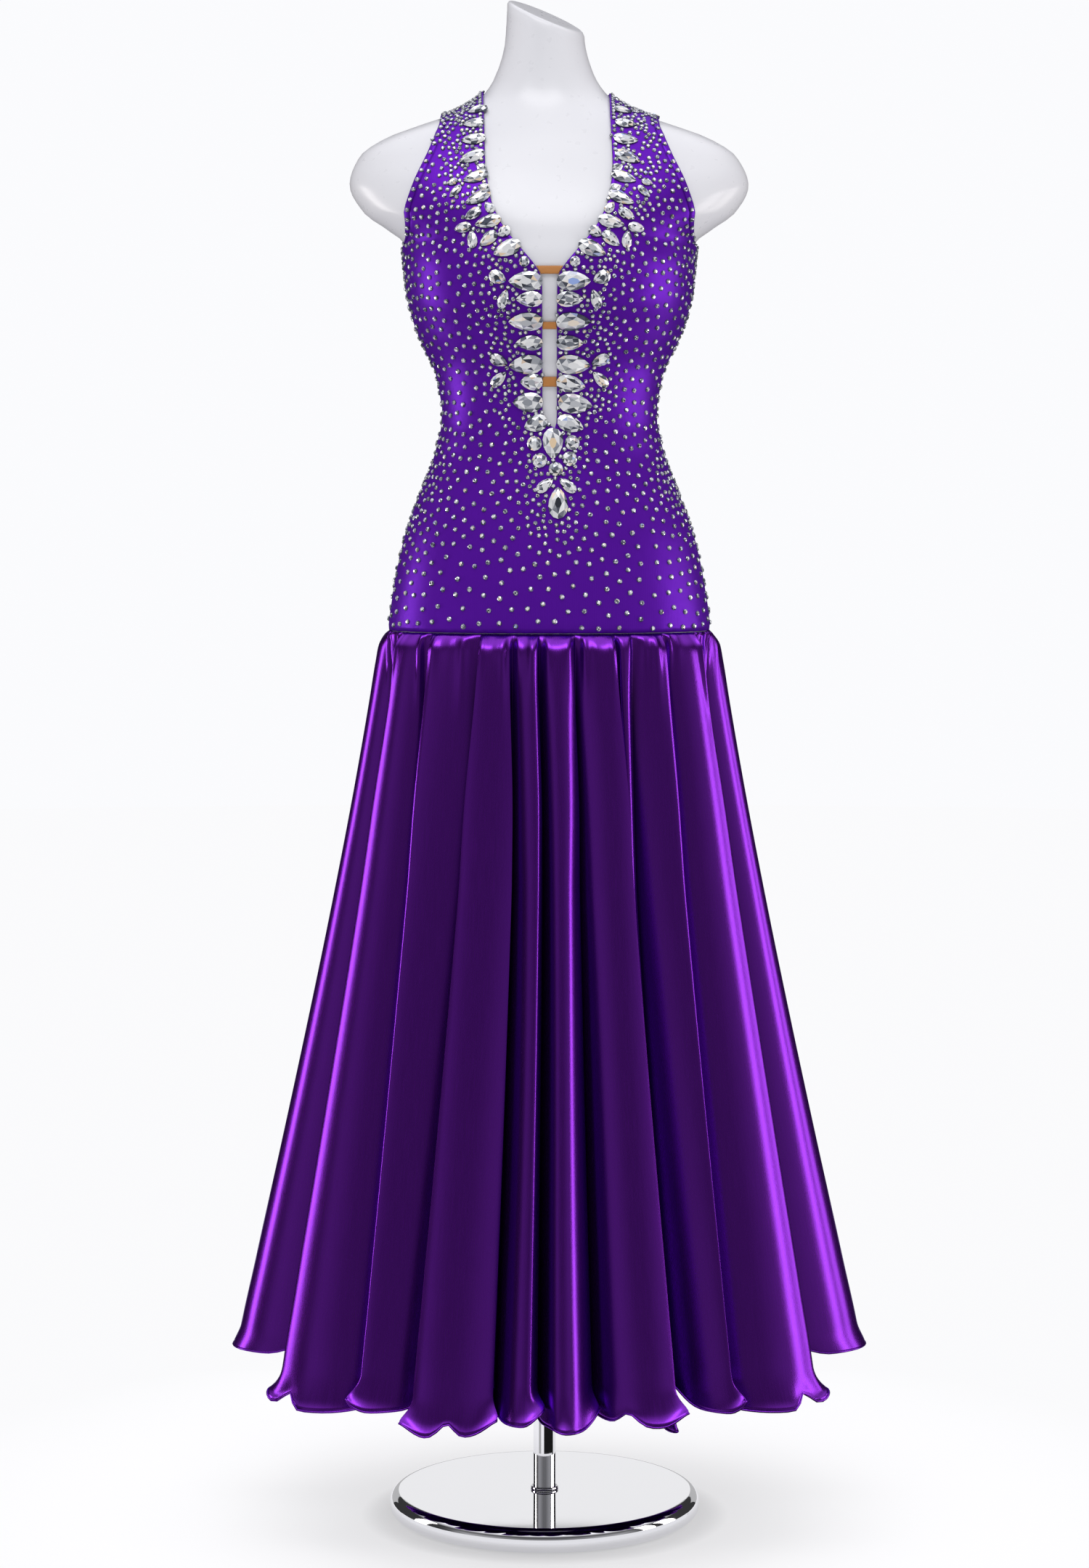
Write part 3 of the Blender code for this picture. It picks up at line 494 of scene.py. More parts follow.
def neck_offset(z):
    """How far the form's middle line leans sideways at a height."""
    return NECK_LEAN * smooth((z - SHOULDER_Z) / (NECK_RING_START - SHOULDER_Z))


def form_point(degrees, z, grow=0.0):
    """The form's points this many degrees round from the front."""
    degrees, z = np.broadcast_arrays(np.asarray(degrees, float), np.asarray(z, float))
    angle = np.radians(degrees)
    power = 2.0 / FORM_SQUARENESS.at(z)
    depth = np.where(np.cos(angle) > 0.0, FORM_FRONT.at(z), FORM_BACK.at(z))
    x = (FORM_SIDE.at(z) + grow) * signed_power(np.sin(angle), power) + neck_offset(z)
    y = -(depth + grow) * signed_power(np.cos(angle), power)
    return np.stack((x, y, z), -1)


def form_field(points):
    """Less than 1 inside the form, 1 on its surface and more outside it."""
    x, y, z = points[..., 0], points[..., 1], points[..., 2]
    depth = np.where(y < 0.0, FORM_FRONT.at(z), FORM_BACK.at(z))
    power = FORM_SQUARENESS.at(z)
    return (np.abs(x - neck_offset(z)) / FORM_SIDE.at(z)) ** power + (np.abs(y) / depth) ** power


def form_normal(points, step=0.0004):
    slopes = []
    for axis in range(3):
        nudge = np.zeros(3)
        nudge[axis] = step
        slopes.append(form_field(points + nudge) - form_field(points - nudge))
    return unit(np.stack(slopes, -1))


def moved_out(points, distance):
    return points + form_normal(points) * np.asarray(distance, float)[..., None]


def form_cast(starts, directions):
    """Where rays from inside the form leave it."""
    starts, directions = np.broadcast_arrays(starts, directions)
    shape = starts.shape[:-1]
    way = halving(np.zeros(shape), np.full(shape, CAST_REACH), 30,
                  lambda way: form_field(starts + directions * way[..., None]) < 1.0)
    return starts + directions * way[..., None]


def over_shoulder(x, turn, back):
    """The form's points over the shoulder: turn is 0 at the chest and 90 on the ridge."""
    x, turn = np.broadcast_arrays(np.asarray(x, float), np.asarray(turn, float))
    angle = np.radians(turn)
    zero = np.zeros_like(x)
    side = 1.0 if back else -1.0
    return form_cast(np.stack((x, zero, zero + SHOULDER_Z), -1),
                     np.stack((zero, side * np.cos(angle), np.sin(angle)), -1))


def slit_middle(z):
    """The slit's left edge closes in on its right one towards the lower end."""
    lean = SLIT_LEAN * (1.0 - V_HALF.at(z) / V_HALF.at(SLIT_STRAIGHT_Z))
    return np.where(z > SLIT_STRAIGHT_Z, 0.0, lean)


def outer_degrees(z):
    """Where the bodice ends sideways, short of the side seam by half its gap."""
    edge = ARMHOLE_DEGREES.at(z) if z > UNDERARM_Z else 90.0
    return min(edge, 90.0 - math.degrees(SEAM_GAP / 2.0 / FORM_FRONT.at(z)))


def x_to_degrees(x, z):
    share = min(abs(x) / FORM_SIDE.at(z), 1.0) ** (FORM_SQUARENESS.at(z) / 2.0)
    return math.copysign(math.degrees(math.asin(share)), x)


def armhole_x(turn, back):
    x = ARMHOLE_HIGH[0][1]
    for _ in range(SETTLE_ROUNDS):
        x = float(ARMHOLE_X.at(over_shoulder(x, turn, back)[2]))
    return x


def v_x(turn, side):
    x = side * float(V_HALF.at(SHOULDER_Z))
    for _ in range(SETTLE_ROUNDS):
        z = over_shoulder(x, turn, False)[2]
        x = float(side * V_HALF.at(z) + neck_offset(z) * NECK_SHARE)
    return x


def seam_turn(turn):
    return np.minimum(turn, 90.0 - math.degrees(SEAM_GAP / 2.0 / RIDGE_RADIUS))


def marked_row(place, inner, outer, middle):
    """Points along a row at set distances from its two ends, and evenly between them.

    place takes shares from 0 to 1. Also gives each point's distance from both ends.
    """
    shares = np.linspace(0.0, 1.0, 65)
    lengths = lengths_along(place(shares))
    total = lengths[-1]
    between = np.linspace(inner[-1], total - outer[-1], middle + 1)[1:-1]
    marks = np.concatenate((inner, between, total - np.array(outer[::-1])))
    return place(np.interp(marks, lengths, shares)), marks, total - marks


def front_rows(side):
    """A half front's rows: form points, distances from the inner and outer edges; and their levels."""
    levels = np.union1d(BODICE_LEVELS, (SLIT_BOTTOM, SHOULDER_Z))
    levels = levels[np.concatenate(([True], np.diff(levels) > LEVEL_STEP * 0.2))]
    if SLIT_BOTTOM not in levels:
        levels[np.argmin(np.abs(levels - SLIT_BOTTOM))] = SLIT_BOTTOM
    marks = (INNER_MARKS, OUTER_MARKS, FRONT_MIDDLE)
    rows = []
    for z in levels:
        inner_x = slit_middle(z) + side * V_HALF.at(z) if z >= SLIT_BOTTOM else SLIT_LEAN
        first, last = x_to_degrees(float(inner_x), z), side * outer_degrees(z)
        rows.append(marked_row(lambda share: form_point(first + (last - first) * share, z), *marks))
    for turn in seam_turn(SHOULDER_TURNS).tolist():
        first, last = v_x(turn, side), side * armhole_x(turn, False)
        rows.append(marked_row(lambda share: over_shoulder(first + (last - first) * share, turn, False),
                               *marks))
    return [np.array(part) for part in zip(*rows)], levels


def nape_turns(x, right, left):
    """How far over the shoulder the back reaches at each x: to the ridge, or to the neck's hole."""
    edge = np.where(x >= 0.0, right, left)
    share = x / edge
    ridge = over_shoulder(x, 90.0, True)[..., 2]
    edge_z = over_shoulder(edge, 90.0, True)[..., 2]
    top = np.minimum(NAPE_Z + (edge_z - NAPE_Z) * share * share, ridge)
    turns = halving(np.zeros_like(x), np.full_like(x, 90.0), 16,
                    lambda turn: over_shoulder(x, turn, True)[..., 2] < top)
    return np.where(share >= 1.0, 90.0, turns)


def back_rows():
    """The back's rows from its left side to its right one."""
    marks = (OUTER_MARKS, OUTER_MARKS, BACK_MIDDLE)
    rows = []
    for z in np.append(BODICE_LEVELS, SHOULDER_Z):
        edge = outer_degrees(z)
        rows.append(marked_row(lambda share: form_point(180.0 + edge - 2.0 * edge * share, z), *marks))
    right, left = v_x(90.0, 1.0), v_x(90.0, -1.0)
    reach = armhole_x(float(seam_turn(90.0)), True)
    places = np.linspace(-1.0, 1.0, 121)
    neck = np.where(places >= 0.0, right, left)
    hole = neck * np.sin(np.radians(90.0 * np.minimum(np.abs(places) / NECK_COLUMN_SHARE, 1.0)))
    strap = (np.abs(places) - NECK_COLUMN_SHARE) / (1.0 - NECK_COLUMN_SHARE)
    tops = np.where(strap < 0.0, hole, neck + (np.sign(places) * reach - neck) * np.maximum(strap, 0.0))
    turns = nape_turns(tops, right, left)
    for turn in SHOULDER_TURNS:
        up = turn / 90.0
        edge = armhole_x(float(seam_turn(turn)), True)

        def place(share):
            spot = 2.0 * share - 1.0
            top = np.interp(spot, places, tops)
            x = edge * spot + (top - edge * spot) * up
            return over_shoulder(x, seam_turn(np.interp(spot, places, turns) * up), True)

        rows.append(marked_row(place, *marks))
    return [np.array(part) for part in zip(*rows)]


def link(tree, source, target):
    tree.links.new(source, target)


def node(tree, kind, **values):
    """A shader node with its settings and its inputs' values."""
    made = tree.nodes.new(kind)
    for name, value in values.items():
        if hasattr(made, name):
            setattr(made, name, value)
        else:
            made.inputs[name.replace("_", " ")].default_value = value
    return made


def principled(name, colour, roughness, **values):
    made = bpy.data.materials.new(name)
    made.use_nodes = True
    shader = made.node_tree.nodes["Principled BSDF"]
    shader.inputs["Base Color"].default_value = (*colour, 1.0)
    shader.inputs["Roughness"].default_value = roughness
    for key, value in values.items():
        shader.inputs[key.replace("_", " ")].default_value = value
    return made, made.node_tree, shader


def coordinates(tree, kind, scale):
    """Texture coordinates of a kind, scaled by axis."""
    source = node(tree, "ShaderNodeTexCoord")
    mapping = node(tree, "ShaderNodeMapping", Scale=scale)
    link(tree, source.outputs[kind], mapping.inputs["Vector"])
    return mapping.outputs["Vector"]


def noise(tree, scale, detail, roughness=0.5, kind="Object", axes=(1.0, 1.0, 1.0)):
    made = node(tree, "ShaderNodeTexNoise", Scale=scale, Detail=detail, Roughness=roughness)
    link(tree, coordinates(tree, kind, axes), made.inputs["Vector"])
    return made.outputs["Fac"]


def thread_noise(tree, across, along, detail, roughness=0.5):
    """Noise in the cloth's own directions, by how many times a metre it changes."""
    return noise(tree, 1.0, detail, roughness, "UV", (across, along, 1.0))


def ribs(tree, kind, axes, distortion, direction):
    made = node(tree, "ShaderNodeTexWave", Scale=1.0, Distortion=distortion, wave_type="BANDS",
                bands_direction=direction)
    link(tree, coordinates(tree, kind, axes), made.inputs["Vector"])
    return made.outputs["Fac"]


def spread(tree, value, low, high, start=0.3, end=0.7):
    """Maps a texture's middle range onto low to high."""
    made = node(tree, "ShaderNodeMapRange")
    for name, number in (("From Min", start), ("From Max", end), ("To Min", low), ("To Max", high)):
        made.inputs[name].default_value = number
    link(tree, value, made.inputs["Value"])
    return made.outputs["Result"]


def blend_colours(tree, factor, first, second):
    """Mixes two colours; the first may be another node's."""
    made = node(tree, "ShaderNodeMix", data_type="RGBA")
    link(tree, factor, made.inputs[0])
    if isinstance(first, tuple):
        made.inputs[6].default_value = (*first, 1.0)
    else:
        link(tree, first, made.inputs[6])
    made.inputs[7].default_value = (*second, 1.0)
    return made.outputs[2]


def attribute(tree, name):
    return node(tree, "ShaderNodeAttribute", attribute_name=name).outputs["Fac"]


def maths(tree, operation, *sources):
    made = node(tree, "ShaderNodeMath", operation=operation)
    for source, target in zip(sources, made.inputs):
        link(tree, source, target)
    return made.outputs["Value"]


def bump(tree, shader, heights):
    """Stacks (height, strength, distance) bumps onto a shader."""
    last = None
    for height, strength, distance in heights:
        made = node(tree, "ShaderNodeBump", Strength=strength, Distance=distance)
        link(tree, height, made.inputs["Height"])
        if last:
            link(tree, last, made.inputs["Normal"])
        last = made.outputs["Normal"]
    link(tree, last, shader.inputs["Normal"])


def jersey_material():
    made, tree, shader = principled("violet_jersey_cloth", (0.104, 0.0085, 0.38), 0.37, Metallic=0.50,
                                    Specular_IOR_Level=0.25, Specular_Tint=(0.60, 0.25, 1.0, 1.0))
    cloudy = spread(tree, noise(tree, 9.0, 3.0), 0.0, 1.0)
    base = blend_colours(tree, cloudy, (0.098, 0.008, 0.36), (0.110, 0.009, 0.40))
    shaded = blend_colours(tree, attribute(tree, "seam_shade"), base, (0.030, 0.002, 0.14))
    link(tree, shaded, shader.inputs["Base Color"])
    wales = ribs(tree, "UV", (260.0, 40.0, 1.0), 0.6, "X")
    grain = thread_noise(tree, 1400.0, 900.0, 2.0)
    link(tree, spread(tree, grain, 0.33, 0.39), shader.inputs["Roughness"])
    bump(tree, shader, ((wales, 0.16, 0.0002), (grain, 0.22, 0.0002)))
    return made


def satin_material():
    made, tree, shader = principled("violet_satin_cloth", (0.14, 0.011, 0.35), 0.26, Metallic=0.97,
                                    Specular_IOR_Level=0.3, Specular_Tint=(0.62, 0.36, 1.0, 1.0),
                                    Coat_Weight=0.22, Coat_Roughness=0.24)
    streaks = thread_noise(tree, 700.0, 30.0, 3.0, 0.6)
    threads = thread_noise(tree, 3000.0, 260.0, 1.0)
    crinkle = thread_noise(tree, 620.0, 170.0, 2.0, 0.6)
    base = blend_colours(tree, spread(tree, streaks, 0.0, 1.0), (0.134, 0.010, 0.338), (0.146, 0.012, 0.362))
    shaded = blend_colours(tree, attribute(tree, "fold_shade"), base, (0.030, 0.002, 0.07))
    link(tree, shaded, shader.inputs["Base Color"])
    link(tree, spread(tree, streaks, 0.245, 0.285), shader.inputs["Roughness"])
    bump(tree, shader, ((crinkle, 0.06, 0.0003), (streaks, 0.04, 0.0002), (threads, 0.08, 0.0001)))
    return made


def form_material():
    made, tree, shader = principled("gloss_white_form", (0.67, 0.67, 0.705), 0.30,
                                    Coat_Weight=0.15, Coat_Roughness=0.12)
    skin = noise(tree, 120.0, 2.0)
    tone = spread(tree, noise(tree, 6.0, 2.0), 0.0, 1.0)
    base = blend_colours(tree, tone, (0.655, 0.655, 0.69), (0.685, 0.685, 0.72))
    link(tree, base, shader.inputs["Base Color"])
    link(tree, spread(tree, skin, 0.27, 0.34), shader.inputs["Roughness"])
    bump(tree, shader, ((skin, 0.03, 0.0003),))
    return made


def rough_material(name, colour, roughness, scale, detail, low, high, **values):
    """A plain finish whose roughness varies a little over the piece."""
    made, tree, shader = principled(name, colour, roughness, **values)
    link(tree, spread(tree, noise(tree, scale, detail), low, high), shader.inputs["Roughness"])
    return made


def chrome_material():
    return rough_material("polished_chrome", (0.86, 0.86, 0.89), 0.04, 22.0, 3.0, 0.025, 0.06, Metallic=1.0)


def thread_material():
    return rough_material("dark_thread", (0.012, 0.010, 0.016), 0.5, 2500.0, 1.0, 0.4, 0.6)


def crystal_material():
    """Each facet's colour is its painted reflection: dark, clear, or a painted spark of orange or blue."""
    made, tree, shader = principled("clear_crystal", (0.80, 0.81, 0.84), 0.06,
                                    Metallic=0.30, Coat_Weight=0.7, Coat_Roughness=0.03)
    # The ramp paints each facet's reflection: dark, clear, or an orange or blue spark
    ramp = node(tree, "ShaderNodeValToRGB")
    stops = ((0.0, (0.03, 0.035, 0.05)), (0.14, (0.10, 0.11, 0.15)), (0.30, (0.34, 0.36, 0.40)),
             (0.52, (0.78, 0.79, 0.82)), (0.88, (0.98, 0.98, 0.98)), (0.95, (0.88, 0.66, 0.42)),
             (1.0, (0.30, 0.45, 0.90)))
    elements = ramp.color_ramp.elements
    while len(elements) < len(stops):
        elements.new(0.5)
    for element, (place, colour) in zip(elements, stops):
        element.position = place
        element.color = (*colour, 1.0)
    link(tree, attribute(tree, "painted_flash"), ramp.inputs["Fac"])
    link(tree, ramp.outputs["Color"], shader.inputs["Base Color"])
    return made


def elastic_material():
    made, tree, shader = principled("tan_elastic_band", (0.50, 0.19, 0.035), 0.55, Sheen_Weight=0.3)
    cords = ribs(tree, "Object", (30.0, 30.0, 420.0), 1.2, "Z")
    grain = noise(tree, 1500.0, 2.0)
    # Painted shade: the colour is lighter on the raised cords and darker in the grooves between them
    link(tree, blend_colours(tree, cords, (0.36, 0.12, 0.018), (0.60, 0.25, 0.05)), shader.inputs["Base Color"])
    bump(tree, shader, ((cords, 0.5, 0.0004), (grain, 0.4, 0.0002)))
    return made


def grid_faces(rows, columns, start=0, closed=False, flipped=False):
    i = np.arange(columns if closed else columns - 1)
    k = np.arange(rows - 1)[:, None]
    a = start + k * columns + i
    b = start + k * columns + (i + 1) % columns
    quads = np.stack((a, b, b + columns, a + columns), -1).reshape(-1, 4)
    return (quads[:, ::-1] if flipped else quads).tolist()


def capped_faces(rows, columns, flipped=False):
    """Faces of a stack of closed rings, with one over each end."""
    ends = [list(range(columns)), list(range((rows - 1) * columns, rows * columns))]
    ends[0 if not flipped else 1].reverse()
    return grid_faces(rows, columns, closed=True, flipped=flipped) + ends


def round_about(count):
    return np.arange(count) * 2.0 * np.pi / count


def piece(name, points, faces, stuff, smooth_faces=True, uv=None, attributes=None, x=GOWN_X):
    """Makes a mesh piece that rides on the model's body."""
    points = np.array(points, dtype=float).reshape(-1, 3) + (x, 0.0, 0.0)
    mesh = bpy.data.meshes.new(name)
    mesh.from_pydata(points.tolist(), [], faces)
    if uv is not None:
        layer = mesh.uv_layers.new(name="UVMap")
        corners = np.zeros(len(mesh.loops), dtype=np.int32)
        mesh.loops.foreach_get("vertex_index", corners)
        layer.data.foreach_set("uv", np.asarray(uv, float).reshape(-1, 2)[corners].ravel())
    for key, (domain, values) in (attributes or {}).items():
        mesh.attributes.new(key, "FLOAT", domain).data.foreach_set("value", np.asarray(values, float).ravel())
    mesh.materials.append(stuff)
    mesh.polygons.foreach_set("use_smooth", [smooth_faces] * len(mesh.polygons))
    mesh.update()
    made = bpy.data.objects.new(name, mesh)
    bpy.context.scene.collection.objects.link(made)
    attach(made, BODY)
    return made


def add_wall(made, thickness):
    """Gives a sheet its thickness, inwards."""
    wall = made.modifiers.new("wall", "SOLIDIFY")
    wall.thickness = thickness
    wall.offset = -1.0


def edge_relief(outer, heights):
    """Height of an edge: a rolled rim, and beside the armhole a turning with its line of stitches."""
    rim = -RIM_DEPTH * (1.0 - smooth(outer / RIM_WIDTH))
    turning = TURNING_HEIGHT * (1.0 - smooth((outer - STITCHES_IN + 0.0008) / 0.0008))
    stitches = -STITCH_DEPTH * bell(outer, STITCHES_IN, 0.0006)
    above = smooth((heights - UNDERARM_Z + 0.004) / 0.008)
    return rim + above * (turning + stitches)


def neckline_relief(inner, heights):
    rim = -RIM_DEPTH * (1.0 - smooth(inner / RIM_WIDTH))
    cord = CORD_HEIGHT * bell(inner, 0.0024, 0.0016)
    return (rim + cord) * smooth((heights - SLIT_BOTTOM + 0.002) / 0.004)


def seam_puckers(points, heights):
    """Small gathers of the jersey where the skirt is sewn on."""
    turn = np.arctan2(points[..., 0], -points[..., 1])
    wave = np.sin(turn * 47.0 + 1.3 * np.sin(turn * 9.0)) + 0.6 * np.sin(turn * 81.0 + 2.0)
    roll = -SEAM_ROLL * (1.0 - smooth((heights - SEAM_Z) / 0.0022))
    return PUCKER_HEIGHT * wave * bell(heights, SEAM_Z, 0.010) + roll


def stretch_folds(points):
    """Soft pull lines at the waist and under the arms."""
    x, y, z = points[..., 0], points[..., 1], points[..., 2]
    turn = np.arctan2(x, -y)
    waist = bell(z, 1.128, 0.032) * np.sin(z * 260.0 + 2.2 * np.sin(turn * 3.0) + 3.0 * turn)
    chest = bell(z, 1.235, 0.03) * np.sin((z - 0.25 * np.abs(x)) * 210.0 + turn * 2.0)
    return PUCKER_HEIGHT * np.abs(np.sin(turn)) ** 3 * (waist + 0.6 * chest)


def cloth_grid(parts, inner_is_neck):
    """Outer face points and seam shading of rows of form points."""
    points, inner, outer = parts
    heights = points[..., 2]
    relief = edge_relief(outer, heights) + seam_puckers(points, heights) + stretch_folds(points)
    shade = bell(outer, STITCHES_IN, 0.0005) * (heights > UNDERARM_Z)
    if inner_is_neck:
        relief = relief + neckline_relief(inner, heights)
    else:
        relief = relief + edge_relief(inner, heights)
        shade = shade + bell(inner, STITCHES_IN, 0.0005) * (heights > UNDERARM_Z)
    return moved_out(points, FORM_GAP + JERSEY + relief), np.clip(shade, 0.0, 1.0)


def row_uv(points):
    """Lengths along and between the rows, in metres."""
    along = np.linalg.norm(np.diff(points, axis=1), axis=2)
    u = np.concatenate((np.zeros((len(points), 1)), np.cumsum(along, axis=1)), axis=1)
    up = np.linalg.norm(np.diff(points, axis=0), axis=2).mean(axis=1)
    v = np.concatenate(([0.0], np.cumsum(up)))
    return np.stack((u, np.broadcast_to(v[:, None], u.shape)), -1)


def build_cloth(name, points, faces, stuff, wall, uv, shade_name, shade):
    """A sheet in place of the solid it is named after, with a wall and a shade for each point."""
    made = piece(name + "_cloth", points, faces, stuff, uv=uv,
                 attributes={shade_name: ("POINT", shade)})
    add_wall(made, wall)
    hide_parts(name)
    return made


def build_bodice_front(stuff):
    """Both halves of the front in one mesh; they share their middle column below the slit."""
    points, uvs, shades, faces, halves = [], [], [], [], []
    for side in (1.0, -1.0):
        parts, levels = front_rows(side)
        grid, shade = cloth_grid(parts, True)
        halves.append((grid, parts))
        uv = row_uv(grid)
        uv[..., 0] *= side
        rows, columns = shade.shape
        faces += grid_faces(rows, columns, len(points) * rows * columns, flipped=side < 0.0)
        points.append(grid.reshape(-1, 3))
        uvs.append(uv.reshape(-1, 2))
        shades.append(shade.ravel())
    points, uvs, shades = (np.concatenate(values) for values in (points, uvs, shades))
    middle = np.arange(int(np.argmin(np.abs(levels - SLIT_BOTTOM))) + 1) * columns
    index = np.arange(len(points))
    index[rows * columns + middle] = middle
    kept = np.flatnonzero(index == np.arange(len(points)))
    faces = np.searchsorted(kept, index[np.array(faces)]).tolist()
    made = build_cloth("bodice_front", points[kept], faces, stuff, CLOTH_WALL,
                       uvs[kept], "seam_shade", shades[kept])
    return made, halves, (points[kept], faces)


def build_bodice_back(stuff):
    grid, shade = cloth_grid(back_rows(), False)
    faces = grid_faces(*shade.shape, flipped=True)
    made = build_cloth("bodice_back", grid, faces, stuff, CLOTH_WALL,
                       row_uv(grid), "seam_shade", shade)
    return made, (grid.reshape(-1, 3), faces)


def flute_at(degrees):
    """The flute that each angle is in, the share of the way across it, its width and the angle itself."""
    first = FLUTE_ENDS[0]
    turned = first + np.mod(degrees - first, 360.0)
    i = np.clip(np.searchsorted(FLUTE_ENDS, turned, side="right") - 1, 0, len(FLUTES) - 1)
    width = FLUTE_ENDS[i + 1] - FLUTE_ENDS[i]
    return i, (turned - FLUTE_ENDS[i]) / width, width, turned


def flute_profile(i, share):
    """Where a flute's points lie across it, and their height from the valley (0) to the crown (1).

    A lapped edge comes out of the valley behind its neighbour, turns sharply and lies over it. From
    the crown, which may be close to that edge, the cloth falls to the other side.
    """
    flute = {name: values[i] for name, values in FLUTE.items()}
    left_turn = np.where(flute["left_lap"] > 0.0, LAP_TURN, 0.0)
    right_turn = np.where(flute["right_lap"] > 0.0, LAP_TURN, 0.0)
    left_end, right_end = -LAP * flute["left_lap"], 1.0 + LAP * flute["right_lap"]
    way = (flute["crown"] - left_end) / (right_end - left_end)
    crown = left_turn + (1.0 - left_turn - right_turn) * way
    crown = np.clip(crown, left_turn + CROWN_SHARE, 1.0 - right_turn - CROWN_SHARE)
    on_left = share < crown
    turn = np.where(on_left, left_turn, right_turn)
    near = np.where(on_left, share, 1.0 - share)
    end = np.where(on_left, left_end, 1.0 - right_end)
    edge = np.where(on_left, flute["left_edge"], flute["right_edge"])
    target = np.where(on_left, flute["crown"], 1.0 - flute["crown"])
    far = np.where(on_left, crown, 1.0 - crown)
    under = np.clip(near / np.maximum(turn, 1e-6), 0.0, 1.0)
    over = np.clip((near - turn) / (far - turn), 0.0, 1.0)
    place = end * np.sin(np.pi / 2.0 * under) ** 2 + (target - end) * over
    power = np.where(np.abs(target - end) > 0.6, flute["fall"], 2.0)
    height = edge * under ** 0.7 + (1.0 - edge) * (1.0 - (1.0 - over) ** power)
    return np.where(on_left, place, 1.0 - place), height


def tuck_height(degrees, drop):
    """Small tucks under the seam, on either side of each valley; drop is metres below the seam."""
    height = np.zeros_like(degrees)
    for k, start in enumerate(FLUTE["start"]):
        for n, tuck in enumerate(records(TUCKS, TUCK_COLUMNS)):
            vary = 0.75 + 0.5 * math.sin(k * 2.7 + n * 1.9) ** 2
            away = np.mod(degrees - start - tuck["offset"] * vary + 180.0, 360.0) - 180.0
            bulge = smooth(drop / 0.004) * bell(drop, 0.0, tuck["reach"] * vary)
            height += tuck["size"] * vary * bell(away, 0.0, tuck["wide"]) * bulge
    return height


def skirt_points(degrees, step):
    """The skirt's outer face, step being 0 at the seam and 1 at the hem."""
    i, share, width, turned = flute_at(degrees)
    after = (i + 1) % len(FLUTES)
    place, height = flute_profile(i, share)
    valley = FLUTE["valley"][i] * (1.0 - share) + FLUTE["valley"][after] * share
    out = FLUTE["crest"][i] * height - valley * (1.0 - height)
    level = 1.0 - (1.0 - height) ** 2.5
    hem = FLUTE["hem"][i] * level + VALLEY_HEM_Z * (1.0 - level)
    curl = np.clip((step - 1.0 + CURL_SHARE) / CURL_SHARE, 0.0, 1.0)
    shift = (place - share) * width * smooth(step / LAP_STEP)
    right = FLUTE["right_lap"][i] * bell(share, 1.0 - LAP_TURN, CORNER_WIDTH)
    left = FLUTE["left_lap"][i] * bell(share, LAP_TURN, CORNER_WIDTH)
    flare = (right - left) * CORNER_FLARE * curl ** 2 * (1.45 - 0.80 * curl ** 4)
    sway = 0.35 * np.sin(step * 5.0 + turned * 0.11) * smooth(step / 0.3) * np.sin(np.pi * share)
    fan = np.interp(turned, *FAN_LINE) * (1.0 - step) ** FAN_POWER
    angle = np.radians(degrees + shift + sway + fan + flare)
    notch = FLUTE["rise"][i] * bell((place - FLUTE["notch"][i]) * width, 0.0, NOTCH_DEGREES)
    lip = np.clip((step - 1.0 + LIP_SHARE) / LIP_SHARE, 0.0, 1.0) ** 1.6
    top = SEAM_Z - SEAM_GAP
    z = top + (hem - top) * step
    side = SKIRT_SIDE.at(z)
    spread_out = side - SKIRT_SIDE.at(top)
    front = FORM_FRONT.at(SEAM_Z) + FORM_GAP + JERSEY + spread_out * SKIRT_FRONT_GAIN
    back = FORM_BACK.at(SEAM_Z) + FORM_GAP + JERSEY + spread_out * SKIRT_BACK_GAIN
    depth = np.where(np.cos(angle) > 0.0, front, back)
    squareness = FORM_SQUARENESS.at(SEAM_Z)
    power = 2.0 / (squareness + (2.0 - squareness) * np.minimum(step / SQUARE_STEP, 1.0))
    x = side * signed_power(np.sin(angle), power)
    y = -depth * signed_power(np.cos(angle), power)
    outward = unit(np.stack((np.sin(angle) / side, -np.cos(angle) / depth), -1))
    flip = HEM_FLIP * np.maximum(0.0, (step - 1.0 + HEM_FLIP_SHARE) / HEM_FLIP_SHARE) ** 2
    grown = step ** FLUTE_GROWTH + SEAM_GATHER * smooth(step / 0.018) * (1.0 - step)
    beside = smooth((np.abs(np.sin(angle)) - 0.90) / 0.09)
    flip = flip * (1.0 - 0.2 * beside)
    lip = lip * (1.0 - beside)
    away = out * grown + flip + (LOBE_OUT * height - NOTCH_IN * notch) * curl ** 1.5
    away = away + tuck_height(degrees, top - z) + LIP_OUT * height * (0.35 + 0.65 * (left + right)) * lip
    z = z + (notch + CORNER_RISE * (left + right) + SIDE_RISE * beside) * curl ** 1.3
    away = away - SIDE_IN * beside * curl ** 3
    return np.stack((x + outward[..., 0] * away, y + outward[..., 1] * away, z), -1)


